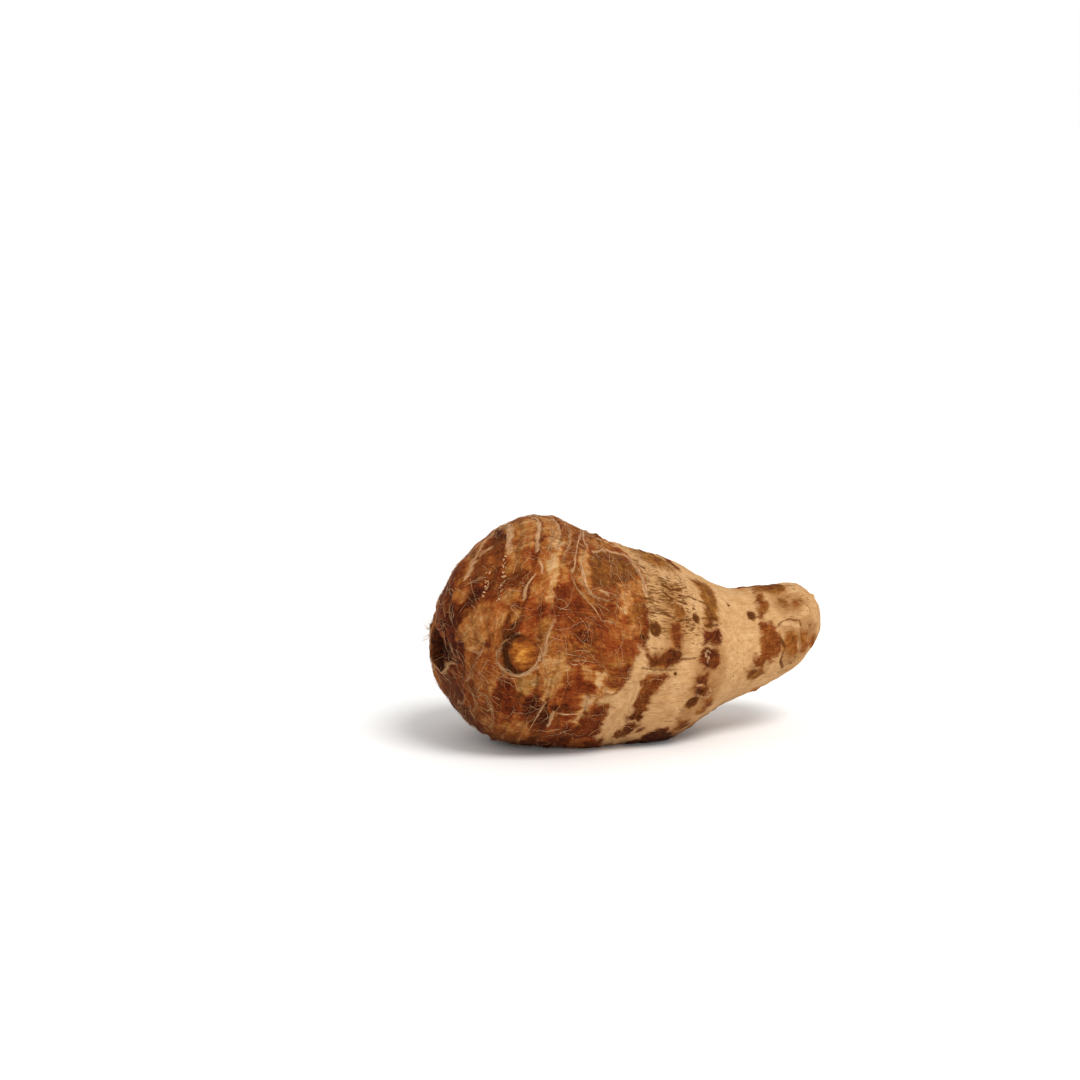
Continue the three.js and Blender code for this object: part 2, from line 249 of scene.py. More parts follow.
# Where a thin brown film dims the bare under-skin: outlines
FILM_PATCHES = (
    ((49.3, 36), (52.8, 35), (55, 38.5), (54.1, 46.5), (51.6, 52), (50.4, 61.5), (48, 60.5), (46.9, 55.5),
     (48, 46.5)),
    ((48.6, 58), (52.5, 56), (54.8, 62), (55, 84), (52, 92), (44, 91), (42.6, 84), (48, 80)),
    ((43.5, 4), (50, 0), (58, 6), (62, 16), (56, 24), (47, 20)),
    ((84.6, 22), (87, 24), (93.2, 30), (95, 44), (90.8, 60), (86.4, 56), (85.2, 40)),
    ((86, 68), (90, 62), (96, 68), (99.4, 84), (98.6, 118), (92, 124), (86, 118), (85, 92)),
    ((57.6, 84), (66, 80), (66.4, 100), (64.6, 130), (57, 134), (57, 108)),
)

# Dark cracks and dried streaks: half width, strength and the places that the line runs through
DARK_LINES = (
    (0.32, 0.9, (49.7, 39.5), (51.4, 41), (55, 39.5)),
    (0.25, 0.6, (50.9, 29), (53.1, 31)),
    (0.15, 0.6, (50.7, 35), (52.9, 36.5)),
    (0.3, 0.9, (48.5, 45), (50.5, 49)),
    (0.16, 0.7, (45.7, 44), (48.7, 43.5)),
    (0.22, 0.8, (42.3, 52.5), (45.1, 51.5), (46.8, 52.5)),
    (0.2, 0.8, (46.1, 49.5), (48.3, 51)),
    (0.24, 0.8, (45.1, 59.5), (48, 59.5), (50.2, 62)),
    (0.18, 0.7, (54.1, 45), (58.3, 45), (61.7, 46), (64.3, 46.5)),
    (0.24, 0.7, (52.9, 50), (55.9, 51)),
    (0.18, 0.7, (50.9, 64), (54.1, 62.5), (56.2, 62.5)),
    (0.3, 0.6, (60.7, 60.5), (66.2, 57)),
    (0.36, 0.7, (61.4, 65.5), (65.1, 62.5)),
    (0.3, 0.8, (42.1, 23), (43.2, 25.5), (44.7, 28)),
    (0.35, 0.5, (48.8, 11.5), (54.1, 11), (59.1, 9)),
    (0.16, 0.4, (58.3, 17), (62, 12.5)),
    (0.18, 0.5, (55.7, 26.5), (59.6, 26)),
    (0.16, 0.6, (43.7, 80.5), (48.3, 81)),
    (0.2, 0.6, (54.5, 86.5), (57.2, 87)),
    (0.1, 0.6, (42.1, 93), (46.8, 93), (52.3, 93), (55.7, 93.5)),
    (0.22, 0.55, (85, 69), (85.9, 65), (87.6, 62.5), (90.5, 66.5), (91.4, 69.5), (91.8, 75)),
    (0.2, 0.4, (94.6, 62), (96, 76), (96.6, 92)),
    (0.2, 0.4, (92.6, 40), (94.6, 52), (95.4, 64)),
    (0.16, 0.45, (88.8, 84), (89.2, 94), (88.8, 106)),
    (0.16, 0.45, (92.2, 86), (93, 98), (92.6, 112)),
    (0.2, 0.4, (97.4, 104), (98.6, 128), (98.2, 150)),
    (0.25, 0.4, (86.4, 6), (91, 10), (95, 12)),
    (0.32, 0.9, (84.3, 81), (85, 87.5), (85.7, 95), (85.5, 101.5), (85, 107.5), (86.9, 122)),
    (0.2, 0.7, (24, 74), (25, 71.5), (26.5, 70.5), (28.5, 71.5)),
)

# Strands of torn skin fibre: width, number of fibres, paleness, then the half width and strength of
# the pale edge that they are torn from (0 where there is none) and the places that they run through
STRANDS = (
    (0.55, 5, 0.8, 0, 0, (9.4, 93), (11.1, 98), (13.5, 100), (16.1, 96), (17.6, 90), (17.8, 84)),
    (0.35, 3, 0.6, 0, 0, (12.8, 78), (10.9, 80), (9.4, 86), (9.4, 93)),
    (0.4, 4, 0.55, 0.2, 0.6, (4.7, 83), (6.3, 85), (7, 78)),
    (0.4, 4, 0.55, 0, 0, (6.3, 85), (5.9, 90), (5.8, 96), (5.1, 101.5), (3.9, 115)),
    (0.3, 3, 0.5, 0.2, 0.6, (6.3, 99.5), (7.7, 103.5), (8.5, 108)),
    (0.6, 6, 0.75, 0.3, 0.9, (0.24, 232), (0.22, 212), (0.22, 185), (0.22, 160), (0.3, 135), (0.5, 118),
     (1.2, 104)),
    (0.4, 4, 0.65, 0, 0, (0.3, 120), (0.9, 108), (1.9, 101)),
    (0.5, 4, 0.6, 0.28, 0.85, (8.5, 344), (7.8, 352), (7, 359.5), (6.5, 2.5), (5.6, 9), (5, 14)),
    (0.5, 4, 0.65, 0.28, 0.85, (5.3, 16), (4.9, 18), (4.7, 22), (4.3, 25.5)),
    (0.3, 3, 0.65, 0.24, 0.75, (6.8, 13.5), (6.1, 12.5), (5.8, 14.5)),
    (0.7, 6, 0.75, 0, 0, (8.7, 345), (9, 358.5), (9.2, 13), (9.2, 20), (9.4, 29)),
    (0.5, 5, 0.85, 0.3, 0.9, (13.1, 348), (13.1, 13), (13.1, 21.5), (13.1, 27), (13.5, 34.5)),
    (0.25, 2, 0.8, 0.2, 0.7, (14.5, 40.5), (15.2, 43), (15.9, 45.5), (16.4, 49)),
    (0.4, 3, 0.75, 0.32, 0.8, (14.7, 48), (13.5, 51), (13, 53.5), (13.3, 58.5)),
    (0.3, 3, 0.8, 0.22, 0.8, (17, 348), (16.6, 8), (16.8, 29)),
    (0.3, 3, 0.7, 0, 0, (21.2, 346), (22.2, 12), (22.4, 30.5), (23.1, 45.5), (22.9, 51)),
    (0.4, 4, 0.65, 0, 0, (22.9, 51), (24, 56), (25.7, 61), (27.7, 65), (29.3, 69), (30.5, 72)),
    (0.3, 3, 0.75, 0, 0, (22.2, 350), (22.3, 3.5), (23.3, 22.5), (25.5, 30.5)),
    (0.5, 4, 0.75, 0, 0, (24.5, 40), (25.2, 48), (26.2, 54), (27.4, 60)),
    (0.7, 7, 0.8, 0.45, 1, (36.5, 23.5), (39.7, 22.5), (41.1, 28), (42.3, 34.5), (43.5, 40.5),
     (43.9, 50.5)),
    (0.5, 4, 0.75, 0, 0, (28, 14), (32, 12), (36, 12), (40.1, 14)),
    (0.5, 4, 0.8, 0.38, 0.9, (27.4, 32), (31, 27), (36.5, 23.5)),
    (0.35, 3, 0.8, 0.25, 0.9, (29.8, 56), (32.4, 57)),
    (0.3, 3, 0.7, 0.25, 0.5, (30.5, 72), (31.8, 71), (34.9, 71)),
    (0.25, 2, 0.7, 0, 0, (33.9, 60), (35.2, 62), (36.2, 66)),
    (0.2, 1, 0.75, 0, 0, (20.5, 87), (23.6, 89.5), (26.4, 90)),
    (0.2, 1, 0.7, 0, 0, (24, 92), (28.1, 92), (31.3, 92.5)),
    (0.18, 1, 0.75, 0, 0, (26.4, 91), (27.4, 90), (28.1, 92), (27, 94), (26.2, 92)),
    (0.2, 1, 0.65, 0, 0, (21.2, 86), (24.3, 88), (27.9, 87), (30.8, 92), (32.7, 96)),
    (0.2, 1, 0.7, 0, 0, (31.3, 92), (32.9, 96), (34.1, 103)),
    (0.18, 1, 0.8, 0, 0, (24, 94), (24.8, 94.5), (26.2, 94)),
    (0.18, 1, 0.85, 0, 0, (27.2, 96.5), (28.6, 97), (29.8, 96)),
    (0.4, 4, 0.6, 0.35, 0.5, (18, 93), (18.5, 86.5), (18.6, 81.5), (19.5, 77), (20.4, 72.5)),
    (0.3, 3, 0.65, 0, 0, (20.7, 115.5), (19.8, 120), (19.2, 124), (18.8, 144)),
    (0.2, 2, 0.85, 0.16, 0.9, (24.5, 122.5), (28.4, 122)),
    (0.4, 3, 0.8, 0.35, 0.9, (23.3, 121.5), (22.9, 126), (22.4, 130.5)),
    (0.2, 1, 0.7, 0.16, 0.6, (21.4, 136), (25.3, 135)),
    (0.3, 2, 0.5, 0, 0, (2, 18), (2, 28), (1.8, 40)),
    (0.8, 4, 0.55, 0, 0, (24.5, 52), (26.5, 57), (29, 60), (33, 61)),
    (0.9, 4, 0.6, 0, 0, (15.2, 12), (15.4, 22), (15.8, 32), (16.6, 42)),
    (0.9, 4, 0.6, 0, 0, (19, 12), (19.4, 22), (19.6, 34), (20.2, 46)),
    (0.8, 4, 0.5, 0, 0, (5.5, 118), (7.5, 122), (9.5, 136), (10.5, 150)),
    (0.8, 3, 0.5, 0, 0, (3.4, 118), (5, 128), (6.2, 142), (7.5, 158)),
    (0.3, 2, 0.5, 0, 0, (2.6, 26), (2.5, 38), (2.7, 48)),
    (0.25, 2, 0.6, 0, 0, (27.4, 64), (30, 64), (33.7, 66)),
    (0.25, 2, 0.5, 0, 0, (4, 130), (5.3, 128), (7, 118)),
    (0.25, 2, 0.5, 0, 0, (6.3, 134), (7.8, 134), (9, 126)),
)

# Pale edges with no strand of their own course: half width, strength and places
PALE_EDGES = (
    (0.28, 0.8, (8.7, 350), (9, 358.5), (9.2, 13), (9.2, 20), (9.4, 29)),
    (0.24, 0.7, (21.9, 348), (22.2, 12), (22.4, 30.5), (23.1, 45.5), (22.9, 50)),
    (0.24, 0.6, (22.2, 3.5), (23.3, 22.5), (25.5, 30.5)),
    (0.4, 0.8, (32, 350), (33.9, 355.5), (36.1, 6.5), (38, 12.5), (40.3, 13.5)),
    (0.3, 0.8, (20.7, 115.5), (19.8, 120), (19.2, 124)),
    (0.22, 0.8, (13.8, 76), (11.8, 79.5), (9.5, 85.5), (9, 90.5), (9.5, 95.5), (11.1, 98.5), (13.5, 99.5),
     (15.5, 98.5), (17.3, 95)),
    (0.25, 0.6, (6.3, 85), (5.9, 90), (5.8, 96)),
    (0.25, 0.6, (5.1, 101.5), (3.9, 115)),
    (0.45, 0.9, (86.4, 68), (88.6, 69), (90.9, 75)),
    (0.25, 0.6, (90.5, 82), (90.9, 95.5), (90.9, 106.5)),
    (0.25, 0.6, (94.5, 79.5), (95.3, 104)),
    (0.16, 0.7, (58.4, 105.5), (60.2, 106.5), (62.2, 110), (63.1, 114.5), (63.1, 117.5), (61.4, 116),
     (59.3, 112.5)),
    (0.1, 0.75, (59.6, 86), (59.9, 82.5), (60.5, 81), (60.9, 84), (60.6, 88), (60.1, 91), (59.6, 86)),
)

# Blocks of brown skin round the root between two rings: from the first number to under the second, and
# how many are drawn for each row
BLOCKS_ROUND = (9, 15)
BLOCKS_DRAWN = 17

# How far a drawn line fades out beyond its half width and how uneven that is, in millimetres
LINE_BLUR = 0.3
LINE_WAVER = 0.18

# The turns between which the drawn edges of the near side give way to scattered ones
DRAWN_SIDE = (130, 160)

# Scars of fallen roots: place along, turn and radius
ROOT_SCARS = (
    (45.1, 70, 1.7),
    (41.3, 75.5, 0.6),
    (58.4, 61.5, 1.15),
    (78.0, 48.5, 1.25),
    (58.6, 117.5, 1.4),
    (53.6, 95.5, 0.35),
    (72.3, 37.5, 0.35),
    (60.4, 111.5, 0.6),
    (84, 330, 0.8),
    (66, 205, 1.3),
    (57, 248, 1.2),
    (49, 290, 1.4),
    (73, 300, 1.1),
    (62, 332, 0.9),
    (46, 235, 1.0),
    (80, 250, 1.2),
    (52, 195, 1.1),
    (69, 165, 0.9),
    (90, 290, 0.7),
)

# Buds: place along, turn, half length and half width; the large one sits in a pocket of torn skin
LARGE_BUD = (14.6, 88, 2.7, 4.3)
BUD_POCKET = (13.2, 88, 4.4, 5.2)
SIDE_BUDS = ((17.5, 262, 3.0, 3.4), (32.0, 288, 3.4, 3.6), (37.0, 212, 3.2, 3.6))

# The flat bud: place along, turn and radius, and the spacing of its rings
FLAT_BUD = (26.3, 80.5, 5.4)
FLAT_BUD_RINGS = 1.75

# The scar where the neck broke: place along, turn, half length and half width; and the nubs round it
TIP_WOUND = (91.5, 95, 6.0, 6.4)
TIP_NUBS = ((94.5, 28), (96.9, 33), (96.0, 340), (91.0, 215))

# Crumbs of pale leaf-base fibre on two of the rings: the ring's place, then their turns
CRUMB_ROWS = ((8.7, 30, 33.5, 36, 38.5, 42, 46, 50, 54), (6.6, 33, 38, 41.5, 44, 47.5))

# Tufts of loose root hairs that stand off the skin: place along, turn, number of hairs and their reach
TUFTS = (
    (1.3, 288, 12, 3.8),
    (0.8, 318, 6, 2.2),
    (2.4, 330, 5, 1.5),
    (1.0, 225, 5, 1.5),
    (4.6, 345, 4, 1.2),
    (0.5, 150, 4, 1.2),
)

# Noises in the skin: name, size in millimetres, stretch along, stretch across, detail, roughness
SKIN_NOISES = (
    ("long fibres", 0.5, 6.0, 1.0, 4.0, 0.65),
    ("short fibres", 0.3, 3.0, 1.0, 3.0, 0.60),
    ("cross lines", 0.45, 1.0, 5.0, 3.0, 0.60),
    ("mottle", 2.4, 1.0, 1.0, 4.0, 0.60),
    ("broad", 8.0, 1.0, 1.0, 2.0, 0.50),
    ("speck", 0.45, 1.0, 1.0, 3.0, 0.70),
    ("blotch", 1.3, 1.3, 1.0, 3.0, 0.60),
    ("streak", 0.42, 9.0, 1.0, 2.0, 0.55),
)

# How far each noise is moved from the one before, so that no two show the same pattern
NOISE_SHIFT = 7.3

# The depth of the skin's finest relief, in millimetres
SKIN_RELIEF = 0.35

# The fields of the skin that its material reads
SKIN_FIELDS = ("cover", "tone", "hue", "fringe", "groove_shade", "scar", "bud", "hollow", "crease", "pit",
               "underside_shade", "streaks", "film")

# How fibres lie on the skin: the field they grow by, their size, bend and lift in metres, how far they
# turn from lengthwise, and their darkest and palest shade
ROOT_HAIRS = {"Where": "fuzz", "Curl": 0.0045, "Lift": 0.00022, "Spread": pi,
              "Darkest": 0.05, "Palest": 0.88, "Seed": SEED}
RING_FIBRES = {"Where": "torn", "Length": 0.0017, "Width": 0.0001, "Curl": 0.0013, "Lift": 0.00022,
               "Spread": radians(75), "Darkest": 0.2, "Palest": 0.85, "Seed": SEED + 1}

# Square centimetres in a square metre
PER_SQUARE_METRE = 1e4

# The points along a fibre and the sides of its tube, and how high over the floor it stays, in millimetres
FIBRE_POINTS = 10
FIBRE_SIDES = 3
FIBRE_LOWEST = 0.15

# Waves to a millimetre in a fibre's bends, in its lift off the skin and in its shade, and how far apart
# the noises of two fibres lie
FIBRE_BENDS = 0.33
FIBRE_LIFTS = 0.42
FIBRE_SHADES = 0.9
FIBRE_APART = 90.0

# The sides of a strand's tube, and the length of its steps in millimetres
STRAND_SIDES = 5
STRAND_STEP = 0.3

# The studio, in metres: the floor, the sky's strength at the horizon and overhead, and the lamps by
# name, direction, width in degrees and strength
FLOOR_HALF = 40.0
SKY_LOW, SKY_HIGH = 1.0, 0.72
LAMPS = (("key", (0.8, -2.0, 3.2), 26.0, 2.1), ("fill", (0.4, -3.8, 0.8), 34.0, 0.44))

# The camera, with its lens and sensor in millimetres
CAMERA_LENS = 86.67
CAMERA_SENSOR = 36
CAMERA_PLACE = (-0.21798, -0.59958, 0.15178)
CAMERA_TARGET = (-0.02029, 0.01174, 0.04842)


def follow(values, share):
    """A smooth curve through values at even steps, read at shares from 0 to 1."""
    values = np.asarray(values, float)
    last = len(values) - 1
    place = np.clip(share, 0, 1) * last
    i = np.minimum(np.floor(place).astype(int), last - 1)
    t = place - i
    a, b = values[np.maximum(i - 1, 0)], values[i]
    c, d = values[i + 1], values[np.minimum(i + 2, last)]
    return b + 0.5 * t * (c - a + t * (2 * a - 5 * b + 4 * c - d + t * (3 * (b - c) + d - a)))


def ease(value, low, high):
    """0 below low, 1 above high, smooth between."""
    share = np.clip((value - low) / (high - low), 0, 1)
    return share * share * (3 - 2 * share)


def hump(value, width):
    """1 where the value is 0, and falling off smoothly over a width on both sides."""
    return np.exp(-((value / width) ** 2))


def apart_in_turn(turn, middle):
    """How far a turn is from a middle one, from -180 to 180 degrees."""
    return (turn - middle + 180) % 360 - 180


def grain(points, size, seed):
    """Smooth random relief from -1 to 1, with features of one size, on points of three coordinates."""
    place = points / size
    cell = np.floor(place).astype(np.int64)
    part = place - cell
    part = part * part * (3 - 2 * part)
    total = np.zeros(points.shape[:-1])
    for corner in range(8):
        step = np.array([corner & 1, corner >> 1 & 1, corner >> 2 & 1])
        # Large odd numbers scramble a cell's three numbers and the seed into one random number
        key = (cell + step) @ np.array([73856093, 19349663, 83492791]) + seed * 2654435761
        key = (key ^ (key >> 13)) * 1274126177 & 0xFFFFFFFF
        key = (key ^ (key >> 16)) * 2246822519 & 0xFFFFFFFF
        share = np.prod(np.where(step == 1, part, 1 - part), axis=-1)
        total += share * ((key >> 7 & 0xFFFF) / 32767.5 - 1)
    return total


def body_radius(along):
    """The root's radius along it: a ball at the crown, the taper, and a ball at the tip."""
    ball = np.sqrt(np.maximum(along * (2 * CROWN_RADIUS - along), 0))
    left = LENGTH - along
    tip = np.sqrt(np.maximum(left * (2 * TIP_RADIUS - left), 0))
    taper = follow(TAPER, (along - CROWN_RADIUS) / (TIP_START - CROWN_RADIUS))
    return np.where(along < CROWN_RADIUS, ball, np.where(along > TIP_START, tip, taper))


def crown_depth(radius):
    """How far along the root the crown's cap lies at a radius: a ball with the pit and its raised lip."""
    ball = CROWN_RADIUS - np.sqrt(CROWN_RADIUS ** 2 - radius ** 2)
    pit = PIT_DEPTH * (1 - ease(radius, 0.45 * PIT_RADIUS, PIT_RADIUS))
    return ball + pit - LIP_RISE * hump(radius - 1.12 * PIT_RADIUS, LIP_WIDTH)


def profile():
    """Rows from the pit to the tip, evenly spaced on the skin: along, radius and outward normal."""
    crown = np.linspace(0, CAP_RADIUS, CAP_STEPS)
    body = np.linspace(crown_depth(CAP_RADIUS), TIP_START, BODY_STEPS)[1:]
    tip = np.linspace(0, pi / 2, CAP_STEPS)[1:]
    along = np.concatenate([crown_depth(crown), body, TIP_START + TIP_RADIUS * np.sin(tip)])
    radius = np.concatenate([crown, body_radius(body), TIP_RADIUS * np.cos(tip)])
    walked = np.concatenate([[0], np.cumsum(np.hypot(np.diff(along), np.diff(radius)))])
    rows = np.linspace(0, walked[-1], ROWS + 1)
    along, radius = np.interp(rows, walked, along), np.interp(rows, walked, radius)
    step_along, step_radius = np.gradient(along), np.gradient(radius)
    step = np.hypot(step_along, step_radius)
    radius[-1] = 0
    return along, radius, -step_radius / step, step_along / step


def ring_lean(along, angle):
    """How far the rings lean along the root at each place, in millimetres."""
    share = along / LENGTH
    tilt = follow(LEAN_COS, share) * np.cos(angle) + follow(LEAN_SIN, share) * np.sin(angle)
    fold = follow(LEAN_COS_2, share) * np.cos(2 * angle) + follow(LEAN_SIN_2, share) * np.sin(2 * angle)
    top = follow(LEAN_TOP, share) * np.maximum(np.cos(angle), 0) ** 3
    waver = 0.45 * np.sin(5 * angle + 0.3 * along) + 0.3 * np.sin(8 * angle - 0.5 * along)
    return tilt + fold + top + waver


def waviness(along, angle):
    """Low swells over the whole root, in millimetres."""
    return (
        0.35 * np.sin(2 * angle - 0.6 + 0.05 * along)
        + 0.3 * np.sin(3 * angle + 1.1 - 0.07 * along)
        + 0.2 * np.sin(5 * angle + 0.16 * along)
    )


def rest(height):
    """Heights with what would go below the floor pressed flat on it, and a soft edge round the flat."""
    blend = np.maximum(FLOOR_BLEND - np.abs(height), 0) / FLOOR_BLEND
    return np.maximum(height, 0) + blend ** 2 * FLOOR_BLEND / 4


class Skin:
    """The grid of the root's skin, with every field that its relief and its colours are made from."""

    def __init__(self):
        along, girth, normal_along, normal_out = profile()
        angle = np.linspace(0, 2 * pi, COLUMNS, endpoint=False)
        self.along, self.angle = np.meshgrid(along, angle, indexing="ij")
        self.turn = np.degrees(self.angle)
        self.girth = np.repeat(girth[:, None], COLUMNS, axis=1)
        self.normal_along = normal_along[:, None]
        self.normal_out = normal_out[:, None]
        around = self.girth * np.cos(self.angle), self.girth * np.sin(self.angle)
        self.grown = np.stack([self.along, *around], axis=-1)
        self.lip_row = int(np.argmin(along))
        self.make_raggedness()
        in_crown = np.where(self.along < LENGTH / 2, self.girth, 2 * PIT_RADIUS)
        self.fields = {"pit": 1 - ease(in_crown, 0.85 * PIT_RADIUS, 1.15 * PIT_RADIUS)}
        self.rise = np.zeros_like(self.along)
        self.make_cover_and_tone()
        self.make_rings()
        self.make_scars()
        self.make_buds()
        self.make_tip()
        self.make_wear_and_shade()
        self.points = self.place()

    def make_raggedness(self):
        """Places shifted a little, so that what is drawn by them has the ragged edge of torn fibre."""
        lengthwise = self.grown * (0.35, 1, 1)
        crosswise = self.grown * (1, 0.4, 0.4)
        self.fibre = grain(lengthwise, 0.8, 15)
        slope = np.maximum(self.normal_out, 0.25)
        tear = 0.8 * grain(lengthwise, 0.9, 11) + 0.5 * grain(self.grown, 2.6, 12)
        self.ragged_along = self.along + slope * tear
        twist = 0.7 * grain(crosswise, 1.1, 13) + 0.5 * grain(self.grown, 2.8, 14)
        self.ragged_turn = self.turn + np.degrees(twist / np.maximum(self.girth, 4))
        self.frayed = 0.3 * np.stack([grain(self.grown, 1.6, 16 + i) for i in range(3)], axis=-1)

    def away(self, along, turn):
        """Distances lengthwise and round the root from a place on the skin."""
        slope = np.maximum(np.abs(self.normal_out), 0.3)
        return (self.along - along) / slope, np.radians(apart_in_turn(self.turn, turn)) * self.girth

    def within(self, outline):
        """How far inside an outline of places each point is, in millimetres; less than 0 outside."""
        places = np.array(outline, float)
        middle = places[0, 1]
        girth = max(float(body_radius(places[:, 0].mean())), 4.0)
        slope = max(min(girth / CROWN_RADIUS, 1.0), 0.25) if places[0, 0] < CROWN_RADIUS else 1.0
        x = self.ragged_along / slope
        y = np.radians(apart_in_turn(self.ragged_turn, middle)) * girth
        around = np.radians(apart_in_turn(places[:, 1], middle)) * girth
        corners = np.stack([places[:, 0] / slope, around], axis=1)
        nearest = np.full(x.shape, np.inf)
        inside = np.zeros(x.shape, bool)
        for (ax, ay), (bx, by) in zip(corners, np.roll(corners, -1, axis=0)):
            run, climb = bx - ax, by - ay
            share = np.clip(((x - ax) * run + (y - ay) * climb) / (run * run + climb * climb), 0, 1)
            nearest = np.minimum(nearest, np.hypot(x - ax - share * run, y - ay - share * climb))
            if climb:
                inside ^= ((ay > y) != (by > y)) & (x < ax + (y - ay) * run / climb)
        return np.where(inside, nearest, -nearest)

    def near(self, places):
        """Distance from each point to a line through places, in millimetres, the line a little ragged."""
        places = np.array(places, float)
        steps = np.linspace(0, len(places) - 1, 4 * len(places))
        along = np.interp(steps, np.arange(len(places)), places[:, 0])
        turn = np.interp(steps, np.arange(len(places)), np.unwrap(np.radians(places[:, 1])))
        girth = np.interp(along, self.along[self.lip_row:, 0], self.girth[self.lip_row:, 0])
        line = np.stack([along, girth * np.cos(turn), girth * np.sin(turn)], axis=1)
        close = (self.along[:, 0] > along.min() - 2) & (self.along[:, 0] < along.max() + 2)
        here = self.grown[close] + self.frayed[close]
        apart = np.full(here.shape[:-1], np.inf)
        for start, run in zip(line, np.diff(line, axis=0)):
            share = np.clip((here - start) @ run / (run @ run), 0, 1)
            apart = np.minimum(apart, np.linalg.norm(here - start - share[..., None] * run, axis=-1))
        nearest = np.full(self.along.shape, np.inf)
        nearest[close] = apart
        return nearest

    def drawn(self, lines):
        """Lines on the skin as a field: each one's strength within its half width, less beyond it."""
        field = np.zeros_like(self.along)
        for half, strength, *places in lines:
            apart = self.near(places) + LINE_WAVER * self.fibre
            field = np.maximum(field, strength * (1 - ease(apart, 0.5 * half, half + LINE_BLUR)))
        return field

    def make_cover_and_tone(self):
        """How deep in the brown outer skin each point is, in millimetres, and that skin's tone and hue."""
        steps = len(SKIN_EDGE)
        share = self.ragged_turn / 360 % 1 * steps
        low = np.floor(share).astype(int)
        edge = np.asarray(SKIN_EDGE, float)
        edge_here = edge[low % steps] * (1 - share + low) + edge[(low + 1) % steps] * (share - low)
        cover = edge_here - self.ragged_along
        for outline in BARE_PATCHES:
            cover = np.minimum(cover, -self.within(outline))
        tone, hue = self.blocks()
        for value, cast, *outline in SKIN_PATCHES:
            inside = ease(self.within(outline), -0.5, 0.6)
            tone = tone + (value - tone) * inside
            hue = hue + (cast - hue) * inside
        for value, cast, *outline in NECK_PATCHES + self.far_patches():
            depth = self.within(outline)
            cover = np.maximum(cover, depth)
            inside = ease(depth, -0.6, 0.3)
            tone = tone + (value - tone) * inside
            hue = hue + (cast - hue) * inside
        film = np.max([self.within(outline) for outline in FILM_PATCHES], axis=0)
        self.fields["film"] = ease(film, -1.0, 0.9)
        self.fields["cover"] = np.clip(cover, -4, 4)
        self.fields["tone"] = tone + 0.10 * grain(self.grown, 3.5, 21) + 0.06 * self.fibre
        self.fields["hue"] = hue + 0.15 * grain(self.grown, 4.5, 22)

    def far_patches(self):
        """Scraps of brown skin on the far side of the neck, in rows that go on from those in front."""
        draw = np.random.default_rng(SEED)
        patches = []
        for ring, reach, turn, end in FAR_ROWS:
            while turn < end:
                width = draw.uniform(9, 26)
                shift, stretch = draw.uniform(-1.4, 1.0), draw.uniform(0.5, 1.1)
                start = ring - reach / 2 + shift
                stop = start + reach * stretch
                slant = draw.uniform(-0.8, 0.8)
                tone, hue = draw.uniform(0.3, 0.6), draw.uniform(0.2, 0.9)
                patches.append((tone, hue, (start, turn), (stop, turn + 2), (stop + slant, turn + width),
                                (start + slant, turn + width - 3)))
                turn += width + draw.choice([0.5, 2, 7])
        return tuple(patches)

    def blocks(self):
        """Tone and hue of the brown skin in blocks between the rings."""
        draw = np.random.default_rng(SEED + 1)
        row = np.searchsorted(RINGS, self.ragged_along)
        spans = draw.integers(*BLOCKS_ROUND, len(RINGS) + 1)
        shifts = draw.uniform(0, 1, len(RINGS) + 1)
        column = (self.ragged_turn / 360 % 1) * spans[row] + shifts[row]
        column = np.floor(column).astype(int) % spans[row]
        tones = draw.uniform(0.30, 0.72, (len(RINGS) + 1, BLOCKS_DRAWN))
        hues = draw.uniform(0.05, 0.5, (len(RINGS) + 1, BLOCKS_DRAWN))
        return tones[row, column], hues[row, column]

    def make_rings(self):
        """The ridge, the pale torn fringe and the painted shade in the groove of each leaf scar ring."""
        fringe = np.zeros_like(self.along)
        groove_shade = np.zeros_like(self.along)
        beads = grain(self.grown * (0.3, 1, 1), 1.15, 31)
        gaps = grain(self.grown * (0.3, 1, 1), 6.0, 32)
        drawn_side = (1 - ease(self.turn, *DRAWN_SIDE)) * (1 - 0.5 * (1 - ease(self.turn, 0, 3)))
        scattered = ease(gaps + 0.5 * beads, -0.1, 0.7) * (1 - 0.92 * drawn_side)
        over = ease(np.cos(self.angle), 0.6, 0.95)
        sunk = ease(gaps - 0.3 * beads + over, -0.7, 0.5)
        for i, ring in enumerate(RINGS):
            on_crown = i < len(CROWN_RINGS)
            apart = self.along + 0.35 * grain(self.grown * (0.2, 1, 1), 3.0, 40 + i) - ring
            reach = np.where(apart < 0, -apart / RIDGE_FRONT, apart / RIDGE_BACK)
            uneven = 0.75 + 0.2 * np.sin(3 * self.angle + 1.7 * i) + 0.15 * np.sin(7 * self.angle + 2.9 * i)
            ridge = uneven * np.exp(-1.6 * reach ** 2) * (1 + 0.35 * beads)
            self.rise += (CROWN_RIDGE if on_crown else NECK_RIDGE) * ridge
            following = RINGS[i + 1] if i + 1 < len(RINGS) else LENGTH
            swell = INTERNODE_SWELL * np.sin(pi * (self.along - ring) / (following - ring))
            self.rise += np.where((self.along > ring) & (self.along < following), swell, 0)
            if on_crown:
                fringe = np.maximum(fringe, hump(apart, 0.28) * scattered)
                # Painted shade: a dark line just on the crown side of each crown ring's ridge, broken up and
                # fullest on the top
                groove_shade = np.maximum(groove_shade, hump(apart + 0.75, 0.45) * sunk)
        on_skin = ease(self.fields["cover"], -0.2, 0.5)
        under_strands = tuple(strand[3:] for strand in STRANDS if strand[3])
        self.fields["fringe"] = np.maximum(fringe * on_skin, self.drawn(under_strands + PALE_EDGES))
        self.fields["groove_shade"] = groove_shade * on_skin

